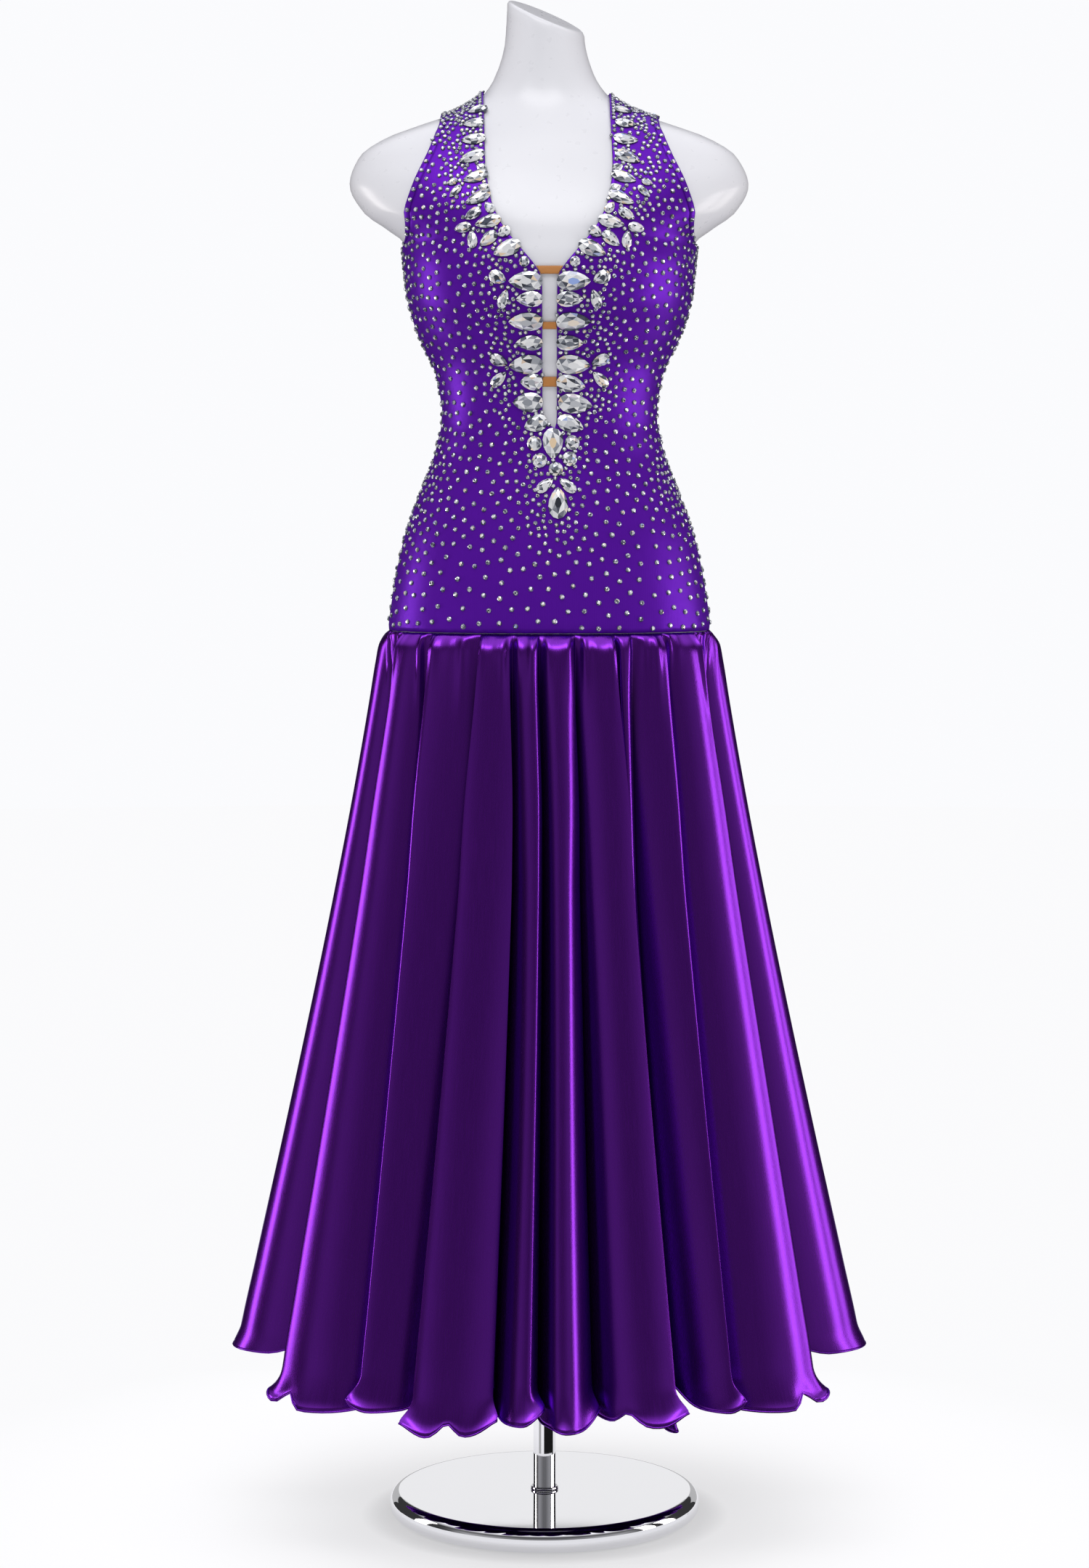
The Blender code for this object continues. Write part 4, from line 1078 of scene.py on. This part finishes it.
def build_skirt(name, low, high, stuff):
    shares = np.array(COLUMN_SHARES + (0.5,) + tuple(1.0 - share for share in COLUMN_SHARES[:0:-1]))
    every = np.concatenate([start + shares * (end - start)
                            for start, end in zip(FLUTE_ENDS[:-1], FLUTE_ENDS[1:])])
    every = np.concatenate((every, every + 360.0))
    degrees = np.concatenate(([low], every[(every > low + 0.2) & (every < high - 0.2)], [high]))
    steps = np.concatenate([[0.0]] + [np.linspace(first, last, count)[1:] for first, last, count in ROW_SPANS])
    angles, heights = np.meshgrid(degrees, steps)
    grid = skirt_points(angles, heights)
    along, up = lengths_along(grid[-1])[None, :], (1.0 - steps[:, None]) * (SEAM_Z - HEM_Z)
    uv = np.stack(np.broadcast_arrays(along, up), -1)
    i, share, _, _ = flute_at(degrees)
    left, right = FLUTE["left_lap"][i] > 0.0, FLUTE["right_lap"][i] > 0.0
    lapped = left & (np.abs(share - LAP_TURN) < 1e-6) | right & (np.abs(share - 1.0 + LAP_TURN) < 1e-6)
    under = left & (share < LAP_TURN - 1e-6) | right & (share > 1.0 - LAP_TURN + 1e-6)
    _, height = flute_profile(i, share)
    depth = np.maximum(np.where(under, 1.0, 0.0), 1.0 - smooth(height / 0.30))
    shade = FOLD_SHADE * depth[None, :] * smooth(steps[:, None] / 0.10)
    made = build_cloth(name, grid[::-1], grid_faces(len(steps), len(degrees)), stuff, SATIN,
                       uv[::-1], "fold_shade", shade[::-1])
    ends = np.zeros(len(made.data.edges) * 2, dtype=np.int32)
    made.data.edges.foreach_get("vertices", ends)
    ends = ends.reshape(-1, 2) % len(degrees)
    sharp = (ends[:, 0] == ends[:, 1]) & lapped[ends[:, 0]]
    made.data.attributes.new("sharp_edge", "BOOLEAN", "EDGE").data.foreach_set("value", sharp)
    return made, grid


def tube(line, radius, sides):
    """Points and faces of an open tube along a line."""
    along = unit(np.gradient(line, axis=0))
    up = unit(np.cross(along, (0.0, 0.0, 1.0)))
    over = np.cross(up, along)
    turns = round_about(sides)[:, None]
    rings = line[:, None] + radius * (np.cos(turns) * up[:, None] + np.sin(turns) * over[:, None])
    return rings, capped_faces(len(line), sides, flipped=True)


def build_hem_roll(name, grid, stuff):
    """The rolled hem: a thin tube along the skirt's lower edge."""
    inward = unit(-grid[-1] * (1.0, 1.0, 0.0))
    line = grid[-1] + inward * SATIN * 0.5 - (0.0, 0.0, 0.0002)
    rings, faces = tube(line[1:-1], HEM_ROLL_RADIUS, HEM_ROLL_SIDES)
    along, around = np.arange(len(rings))[:, None] * 0.003, np.arange(HEM_ROLL_SIDES)[None, :] * 0.001
    return piece(name, rings, faces, stuff, uv=np.stack(np.broadcast_arrays(along, around), -1))


def build_form(stuff):
    """The form, rounded at its foot and cut at a slant through the neck."""
    heights = np.concatenate((np.array([0.0, 0.0008, 0.0025, 0.005]) + FORM_BOTTOM,
                              np.linspace(0.81, NECK_START, 110)))
    degrees = np.arange(112) * 360.0 / 112
    tuck = -FORM_FOOT_ROUND * quarter((heights - FORM_BOTTOM) / FORM_FOOT_ROUND)
    grid = [form_point(degrees, z, grow) for z, grow in zip(heights, tuck)]
    for share, rounding in [(share, 0.0) for share in NECK_SHARES] + [(1.0, way) for way in NECK_ROUNDINGS]:
        point = form_point(degrees, NECK_START)
        drop = NECK_EDGE_ROUND * quarter(rounding / 0.0042)
        for _ in range(5):
            lean = point[..., 0] - neck_offset(point[..., 2])
            cut = NECK_CUT_Z + NECK_CUT_SLOPE_X * lean + NECK_CUT_SLOPE_Y * point[..., 1] - drop
            point = form_point(degrees, NECK_START + (cut - NECK_START) * share, -rounding)
        grid.append(point)
    made = piece("form_shell", grid, capped_faces(len(grid), len(degrees)), stuff)
    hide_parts("form_torso")


def build_turned(name, replaced, profile, stuff, hollow=False):
    """A turned solid whose profile runs up its outer side, or all round it where it is hollow."""
    rings = [[(r * math.cos(t), r * math.sin(t), z) for t in round_about(TURN_STEPS)] for r, z in profile]
    if hollow:
        count = len(profile) * TURN_STEPS
        faces = (np.array(grid_faces(len(profile) + 1, TURN_STEPS, closed=True)) % count).tolist()
    else:
        faces = capped_faces(len(profile), TURN_STEPS)
    made = piece(name, rings, faces, stuff, x=0.0)
    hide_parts(replaced)


def build_stand(stuff):
    top = BASE_HEIGHT
    profile = [(0.020, 0.0), (BASE_FLAT_RADIUS - 0.001, 0.0), (BASE_FLAT_RADIUS, 0.00004)]
    for a in np.radians(90.0 * np.linspace(0.0, 1.0, 7)[1:]).tolist():
        profile.append((BASE_FLAT_RADIUS + (BASE_RADIUS - BASE_FLAT_RADIUS) * math.sin(a),
                        BASE_LOWER_RIM * (1.0 - math.cos(a))))
    for a in np.radians(90.0 * np.linspace(0.0, 1.0, 13)).tolist():
        profile.append((BASE_RADIUS - BASE_ROUND * (1.0 - math.cos(a)), top - BASE_ROUND * (1.0 - math.sin(a))))
    profile += [(BASE_RADIUS - BASE_ROUND - 0.0006, top), (0.10, top), (0.020, top)]
    build_turned("base_disc", "base_plate", profile, stuff)

    foot, head = BASE_HEIGHT + TOUCH, FORM_BOTTOM - TOUCH
    build_turned("stand_pole", "pole", [
        (POLE_RADIUS - 0.0008, foot), (POLE_RADIUS, foot), (POLE_RADIUS, foot + 0.001),
        (POLE_RADIUS, head - 0.001), (POLE_RADIUS, head), (POLE_RADIUS - 0.0008, head)], stuff)
    inner, height = POLE_RADIUS + TOUCH * 1.5, foot + RING_HEIGHT
    build_turned("pole_collar", "pole_ring", [
        (inner, foot), (RING_RADIUS, foot), (RING_RADIUS, height - 0.001),
        (RING_RADIUS - 0.0003, height - 0.0004), (RING_RADIUS - 0.0008, height),
        (inner, height)], stuff, hollow=True)


def build_bars(stuff):
    """The elastic bars across the slit, each bulging a little between its sewn ends."""
    across, up = np.linspace(-1.0, 1.0, 17), np.linspace(-1.0, 1.0, 9)
    for number, bar in enumerate(records(BRIDGES, BRIDGE_COLUMNS), start=1):
        grid = []
        for v in up:
            level = bar["z"] + 0.5 * v * bar["height"]
            reach = float(V_HALF.at(level)) - TOUCH * 1.5
            x = float(slit_middle(level)) + reach * across
            start = np.stack((x, np.zeros(len(x)), np.full(len(x), level)), -1)
            face = form_cast(start, np.array((0.0, -1.0, 0.0)))
            bulge = 0.0005 * (1.0 - abs(v) ** 3) - 0.0003 * (1.0 - across ** 2)
            grid.append(moved_out(face, FORM_GAP + ELASTIC - 0.0004 + bulge))
        made = piece(f"elastic_bar_{number}", grid, grid_faces(len(up), len(across)), stuff)
        add_wall(made, ELASTIC - 0.0002)
        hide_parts(f"bridge_bar_{number}")


def crystal_outline(length, width, sides):
    """Steps along and across a crystal, round its edge; a long one is a drop with its tip ahead."""
    angle = 2.0 * np.pi * np.arange(sides) / sides
    spread_out = np.sin(angle)
    if length > width:
        spread_out = spread_out * np.sqrt(np.sin(angle / 2.0)) / DROP_WIDEST
    return np.stack((np.cos(angle) * length / 2.0, spread_out * width / 2.0), -1)


def gem_faces(sides, start):
    """Faces of a cut stone: foot, girdle, a crown of half as many points, a table ring and the table."""
    half = sides // 2
    foot, girdle = start, start + sides
    crown, table = start + 2 * sides, start + 2 * sides + half
    faces = [[foot + i, foot + (i + 1) % sides, girdle + (i + 1) % sides, girdle + i] for i in range(sides)]
    for k in range(half):
        g0, g1, g2 = girdle + 2 * k, girdle + 2 * k + 1, girdle + (2 * k + 2) % sides
        c0, c1 = crown + k, crown + (k + 1) % half
        t0, t1 = table + k, table + (k - 1) % half
        faces += [[g0, g1, c0], [g1, g2, c0], [c0, g2, c1], [c0, c1, t0], [t1, c0, t0]]
    faces.append([table + k for k in range(half)])
    return faces


class Stones:
    """Cut stones gathered for one mesh, and the painted reflection of each facet: how light it is painted."""

    def __init__(self, seed):
        self.rng = np.random.default_rng(seed)
        self.points, self.faces, self.painted_flashes = [], [], []
        self.count = 0

    def add(self, centre, axes, outline, height, sink, crown, table, rim=1.0):
        """One stone along three axes: its foot under the cloth, girdle, crown and table rings.

        rim is the share of painted light that the crown's outer facets keep. The sides are painted dark.
        """
        along, across, out = axes
        sides = len(outline)
        flat = along[None, :] * outline[:, :1] + across[None, :] * outline[:, 1:]
        self.points += [centre + flat - out * sink, centre + flat + out * height * GIRDLE_SHARE,
                        centre + flat[1::2] * crown + out * height * CROWN_HEIGHT_SHARE,
                        centre + np.roll(flat[0::2], -1, axis=0) * table + out * height]
        faces = gem_faces(sides, self.count)
        self.faces += faces
        self.count += 3 * sides
        # Painted reflections: a random lightness for each facet, painted dark on the sides and dimmed by rim on
        # the crown's outer facets
        painted_flashes = self.rng.random(len(faces))
        painted_flashes[:sides] *= 0.12
        for k in range(sides // 2):
            painted_flashes[sides + 5 * k:sides + 5 * k + 3] *= rim
        self.painted_flashes += painted_flashes.tolist()

    def mesh(self, name, stuff):
        return piece(name, np.concatenate(self.points), self.faces, stuff, smooth_faces=False,
                     attributes={"painted_flash": ("FACE", self.painted_flashes)})


def build_crystals(tree, stuff, thread):
    """The large sewn-on crystals, and the dark thread that shows at their ends."""
    gems, threads, places = Stones(11), [], []
    for crystal in records(CRYSTALS, CRYSTAL_COLUMNS):
        for side in ((1.0, -1.0) if crystal["pair"] else (1.0,)):
            x, z = side * crystal["x"] * MM, crystal["z"] * MM
            hits = [tree.ray_cast(Vector((x + dx, -0.6, z + dz)), Vector((0.0, 1.0, 0.0)))
                    for dx, dz in ((0, 0), (0.004, 0), (-0.004, 0), (0, 0.004), (0, -0.004))]
            hits = [hit for hit in hits if hit[0] is not None]
            if not hits:
                continue
            centre = np.array(hits[0][0])
            out = unit(np.mean([np.array(hit[1]) for hit in hits], axis=0))
            right = unit(np.cross((0.0, 0.0, 1.0), out))
            turn = math.radians(180.0 - crystal["tip"] if side < 0.0 else crystal["tip"])
            along = right * math.cos(turn) + np.cross(out, right) * math.sin(turn)
            across = np.cross(out, along)
            length, width = crystal["length"] * MM, crystal["width"] * MM
            outline = crystal_outline(length, width,
                                      CRYSTAL_SIDES if length > SHORT_CRYSTAL else SHORT_CRYSTAL_SIDES)
            height = CRYSTAL_HEIGHT * (0.62 + 0.38 * min(width / 0.018, 1.0))
            gems.add(centre + out * CRYSTAL_LIFT, (along, across, out), outline, height, CRYSTAL_SINK, 0.72, 0.36)
            places.append((centre, along, across, length / 2.0, width / 2.0))
            if length > THREADED_CRYSTAL:
                for end in (-1.0, 1.0):
                    spot = centre + out * (height * 0.52 + CRYSTAL_LIFT) + along * end * length * 0.44
                    threads.append([spot + along * a * 0.0011 + across * b * 0.00030 + out * c * 0.0004
                                    for a in (-1, 1) for b in (-1, 1) for c in (-1, 1)])
    box = np.array(((0, 1, 3, 2), (4, 6, 7, 5), (0, 4, 5, 1), (2, 3, 7, 6), (0, 2, 6, 4), (1, 5, 7, 3)))
    thread_faces = (np.arange(len(threads))[:, None, None] * 8 + box).reshape(-1, 4).tolist()
    made = gems.mesh("crystals_large", stuff)
    piece("crystal_threads", threads, thread_faces, thread, smooth_faces=False)
    return made, places


def stone_spacing(points):
    """How far apart the small stones are, by place: close by the crystals and looser outwards."""
    x, y, z = np.abs(points[..., 0] - 0.0015), points[..., 1], points[..., 2]
    outer = np.interp(z, *SPACING_LINE)
    side = smooth((x / FORM_SIDE.at(z) - 0.72) / 0.22)
    outer = outer * (1.0 - side * (0.15 + 0.28 * bell(z, 1.055, 0.05)))
    v_edge = np.where(z > SLIT_BOTTOM, V_HALF.at(z), 0.0)
    beyond = x - v_edge - np.interp(z, *BAND_LINE)
    close = 0.0054 - 0.0008 * smooth((z - 1.27) / 0.02)
    column_spacing = close + (outer - close) * smooth(beyond / 0.042)
    away = np.sqrt((x / 0.8) ** 2 + (np.maximum(0.0, 1.035 - z)) ** 2)
    reach = np.interp(z, (1.035, 1.12), (0.012, 0.028))
    pendant = 0.0056 + (outer - 0.0056) * smooth((away - reach) / 0.055)
    between = pendant + (column_spacing - pendant) * smooth((z - 1.115) / 0.010)
    spacing = np.where(z > 1.125, column_spacing, np.where(z < 1.115, pendant, between))
    return np.where(y > 0.0, np.maximum(outer * 1.25, 0.011), spacing)


def edge_stones(grid, distances, wanted, spacing, lowest):
    """Places at even steps along a line of the grid that lies a wanted distance in from an edge."""
    line = grid[:, int(np.argmin(np.abs(distances[len(distances) // 2] - wanted)))]
    line = line[(line[:, 2] > lowest) & (line[:, 2] < EDGE_TOP)]
    lengths = lengths_along(line)
    marks = np.arange(spacing * 0.5, lengths[-1], spacing)
    return np.stack([np.interp(marks, lengths, line[:, axis]) for axis in range(3)], -1)


def inside_crystal(points, places, margin):
    """Whether each point lies under a large crystal."""
    covered = np.zeros(len(points), bool)
    for centre, along, across, half_length, half_width in places:
        step = points - centre
        far = (step @ along / (half_length + margin)) ** 2 + (step @ across / (half_width * 0.94 + margin)) ** 2
        covered |= (far < 1.0) & (np.linalg.norm(step, axis=1) < half_length + 0.01)
    return covered


def scatter(surfaces, tree, fixed, places):
    """Even, unequal spacing over the bodice: random places, thinned, then pushed apart."""
    rng = np.random.default_rng(5)
    corners = []
    for points, faces in surfaces:
        quads = np.array(faces)
        corners.append(np.concatenate((points[quads[:, [0, 1, 2]]], points[quads[:, [0, 2, 3]]])))
    corners = np.concatenate(corners)
    areas = np.linalg.norm(np.cross(corners[:, 1] - corners[:, 0], corners[:, 2] - corners[:, 0]), axis=1)
    chosen = rng.choice(len(corners), STONE_TRIES, p=areas / areas.sum())
    a, b = rng.random((2, len(chosen), 1))
    flipped = (a + b) > 1.0
    a, b = np.where(flipped, 1.0 - a, a), np.where(flipped, 1.0 - b, b)
    first = corners[chosen, 0]
    tries = first + a * (corners[chosen, 1] - first) + b * (corners[chosen, 2] - first)
    tries = tries[tries[:, 2] > SEAM_Z + 0.006]
    tries = tries[~inside_crystal(tries, places, 0.0015)]
    radii = stone_spacing(tries) * 0.80
    kept, kept_radii = np.zeros((MOST_STONES, 3)), np.zeros(MOST_STONES)
    kept[:len(fixed)] = fixed
    kept_radii[:len(fixed)] = 0.0052
    count = len(fixed)
    for point, radius in zip(tries, radii):
        gaps = kept[:count] - point
        if count and (np.einsum("ij,ij->i", gaps, gaps) < ((radius + kept_radii[:count]) / 2.0) ** 2).any():
            continue
        kept[count], kept_radii[count] = point, radius
        count += 1
    stones = kept[:count].copy()
    for _ in range(SPREAD_ROUNDS):
        finder = KDTree(count)
        for i, point in enumerate(stones):
            finder.insert(point, i)
        finder.balance()
        wanted = stone_spacing(stones)
        moved = stones.copy()
        for i in range(len(fixed), count):
            push = np.zeros(3)
            for spot, other, gap in finder.find_n(stones[i], 7):
                if other != i and 1e-6 < gap < wanted[i]:
                    push += (stones[i] - np.array(spot)) / gap * (wanted[i] - gap)
            moved[i] = tree.find_nearest(Vector(stones[i] + push * 0.22))[0]
        stones = moved
    return stones[~inside_crystal(stones, places, 0.0009) & (stones[:, 2] > SEAM_Z + 0.0035)]


def build_rhinestones(tree, places, stuff):
    """Small round stones in one mesh, turned and tilted at random."""
    stones = Stones(8)
    rng = stones.rng
    for place in places:
        spot, out, _, _ = tree.find_nearest(Vector(place))
        spot, out = np.array(spot), np.array(out)
        helper = np.array((0.0, 0.0, 1.0)) if abs(out[2]) < 0.9 else np.array((1.0, 0.0, 0.0))
        along = unit(np.cross(helper, out))
        turn = rng.random() * math.pi
        along, across = (along * math.cos(turn) + np.cross(out, along) * math.sin(turn),
                         -along * math.sin(turn) + np.cross(out, along) * math.cos(turn))
        close = stone_spacing(np.array([spot]))[0]
        radius = STONE_RADIUS + STONE_MORE * float(np.clip((close - 0.006) / 0.008, 0.0, 1.0))
        radius = radius + rng.normal(0.0, 0.00008)
        tilt = rng.normal(0.0, 0.05, 2)
        out = unit(out + along * tilt[0] + across * tilt[1])
        outline = crystal_outline(2.0 * radius, 2.0 * radius, STONE_SIDES)
        stones.add(spot, (along, across, out), outline, radius * 0.78, STONE_SINK, 0.80, 0.50, rim=0.35)
    return stones.mesh("rhinestones", stuff)


def build_camera():
    data = bpy.data.cameras.new("camera")
    data.sensor_fit = "VERTICAL"
    data.sensor_height = 36.0
    data.lens = 84.6
    made = bpy.data.objects.new("camera", data)
    made.location = (0.0, -3.75, 1.05)
    made.rotation_euler = (math.pi / 2.0 - 0.078, 0.0, 0.0)
    bpy.context.scene.collection.objects.link(made)
    bpy.context.scene.camera = made


def add_light(name, place, aim, size, power, colour, shines):
    """A soft rectangular light that faces a height over the origin."""
    data = bpy.data.lights.new(name, "AREA")
    data.shape = "RECTANGLE"
    data.size, data.size_y = size
    data.energy = power
    data.color = colour
    made = bpy.data.objects.new(name, data)
    made.location = place
    made.rotation_euler = (Vector((0.0, 0.0, aim)) - Vector(place)).to_track_quat("-Z", "Y").to_euler()
    made.visible_camera = False
    made.visible_glossy = shines
    bpy.context.scene.collection.objects.link(made)


def plain_emission(name, colour):
    made = bpy.data.materials.new(name)
    made.use_nodes = True
    tree = made.node_tree
    tree.nodes.clear()
    glow = node(tree, "ShaderNodeEmission", Color=(*colour, 1.0), Strength=1.0)
    out = node(tree, "ShaderNodeOutputMaterial")
    link(tree, glow.outputs["Emission"], out.inputs["Surface"])
    return made


def floor_material():
    """A pale floor that glows evenly and is dimmer near the stand, with a painted contact shadow round and under
    the stand's foot.
    """
    made, tree, shader = principled("pale_floor", (0.3, 0.3, 0.3), 0.8, Specular_IOR_Level=0.0,
                                    Emission_Color=(0.985, 0.985, 1.0, 1.0))
    place = node(tree, "ShaderNodeTexCoord")
    length = node(tree, "ShaderNodeVectorMath", operation="LENGTH")
    link(tree, place.outputs["Object"], length.inputs[0])
    away = length.outputs["Value"]
    near = spread(tree, away, 1.0, 0.0, 0.25, 0.75)
    link(tree, blend_colours(tree, near, (0.0, 0.0, 0.0), (0.32, 0.32, 0.32)), shader.inputs["Base Color"])
    # Painted contact shadow: the glow falls to 0.62 round and under the stand's foot
    glow = maths(tree, "MULTIPLY", spread(tree, near, 0.975, 0.68, 0.0, 1.0),
                 spread(tree, away, 0.62, 1.0, 0.150, 0.190))
    link(tree, glow, shader.inputs["Emission Strength"])
    return made


def build_world():
    """A studio round the part: bright above, half bright to the front's two sides, and dark behind."""
    world = bpy.data.worlds.new("studio")
    bpy.context.scene.world = world
    world.use_nodes = True
    tree = world.node_tree
    place = node(tree, "ShaderNodeTexCoord")
    split = node(tree, "ShaderNodeSeparateXYZ")
    link(tree, place.outputs["Generated"], split.inputs["Vector"])
    x, y, z = split.outputs["X"], split.outputs["Y"], split.outputs["Z"]
    aside = maths(tree, "ABSOLUTE", x)
    both_sides = maths(tree, "MINIMUM", spread(tree, aside, WORLD_MIDDLE, WORLD_FRONT, 0.25, 0.75),
                       spread(tree, aside, WORLD_FRONT, 0.0, 0.85, 0.98))
    front = maths(tree, "MULTIPLY", both_sides, spread(tree, y, 1.0, 0.0, -0.35, 0.0))
    low_down = maths(tree, "MULTIPLY", front, spread(tree, z, 1.0, 0.3, 0.20, 0.42))
    total = maths(tree, "ADD", low_down, spread(tree, z, WORLD_DARK, WORLD_ABOVE, 0.52, 0.82))
    background = tree.nodes["Background"]
    background.inputs["Color"].default_value = (0.97, 0.97, 1.0, 1.0)
    link(tree, total, background.inputs["Strength"])


def stage_rings(name, rings, turns, stuff, unseen=(), closed=False, capped=False, flipped=True):
    """A stage mesh between rings of (radius, height), at angles from -Y; rays named in unseen pass it."""
    points = [(r * math.sin(t), -r * math.cos(t), z) for r, z in rings for t in turns]
    faces = grid_faces(len(rings), len(turns), closed=closed, flipped=flipped)
    if capped:
        faces.append(list(range(len(points) - len(turns), len(points))))
    mesh = bpy.data.meshes.new(name)
    mesh.from_pydata(points, [], faces)
    mesh.materials.append(stuff)
    made = bpy.data.objects.new(name, mesh)
    for ray in unseen:
        setattr(made, "visible_" + ray, False)
    bpy.context.scene.collection.objects.link(made)
    return made


def build_stage():
    bpy.context.scene.view_settings.view_transform = "Standard"
    build_world()
    pale = floor_material()
    around = round_about(96)
    stage = [
        stage_rings("floor", ((NEAR_FLOOR, FLOOR_Z),), around, pale, capped=True),
        stage_rings("floor_round_about", ((NEAR_FLOOR, FLOOR_Z), (FAR_FLOOR, FLOOR_Z)), around, pale,
                    ("glossy",), closed=True),
        stage_rings("backdrop", ((BACKDROP_RADIUS, -0.3), (BACKDROP_RADIUS, 9.0)), around,
                    plain_emission("pale_backdrop", (0.962, 0.965, 0.985)),
                    ("diffuse", "glossy", "transmission", "shadow"), closed=True, capped=True)]
    for card in records(CARDS, CARD_COLUMNS):
        turns = np.radians(np.linspace(card["first"], card["last"], card["count"]))
        stage.append(stage_rings(card["name"], (card["inner"], card["outer"]), turns,
                                 plain_emission(card["name"], card["colour"]),
                                 ("camera", "diffuse", "shadow"), flipped=card["flipped"]))
    for light in records(LIGHTS, LIGHT_COLUMNS):
        add_light(**light)


def main():
    build_camera()
    build_stage()
    jersey, satin, crystal = jersey_material(), satin_material(), crystal_material()
    build_form(form_material())
    build_stand(chrome_material())
    front, halves, front_surface = build_bodice_front(jersey)
    back, back_surface = build_bodice_back(jersey)
    build_bars(elastic_material())
    skirt_front, hem_front = build_skirt("skirt_front", -90.0, 90.0, satin)
    skirt_back, hem_back = build_skirt("skirt_back", 90.0, 270.0, satin)
    roll_front = build_hem_roll("hem_roll_front", hem_front, satin)
    roll_back = build_hem_roll("hem_roll_back", hem_back, satin)

    front_tree = BVHTree.FromPolygons(front_surface[0].tolist(), front_surface[1])
    both = np.concatenate((front_surface[0], back_surface[0]))
    faces = front_surface[1] + (np.array(back_surface[1]) + len(front_surface[0])).tolist()
    tree = BVHTree.FromPolygons(both.tolist(), faces)
    gems, places = build_crystals(front_tree, crystal, thread_material())
    rows = []
    for grid, (_, inner, outer) in halves:
        rows.append(edge_stones(grid, inner, 0.0032, 0.0056, SLIT_BOTTOM + 0.004))
        rows.append(edge_stones(grid, outer, 0.0040, 0.0105, UNDERARM_Z + 0.004))
    fixed = np.concatenate(rows)
    fixed = fixed[~inside_crystal(fixed, places, 0.0008)]
    stones = scatter((front_surface, back_surface), tree, fixed, places)
    small = build_rhinestones(tree, stones, crystal)

    for made, width, length, area, held, rests, more in (
            (front, 0.37, 0.57, 0.150, "stretched", ["form_shell"], [gems, small]),
            (back, 0.37, 0.57, 0.150, "stretched", ["form_shell"], []),
            (skirt_front, 1.70, 0.78, 0.86, "hung", ["bodice_front_cloth"], [roll_front]),
            (skirt_back, 1.70, 0.78, 0.86, "hung", ["bodice_back_cloth"], [roll_back])):
        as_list(rests)
        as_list(more)


main()
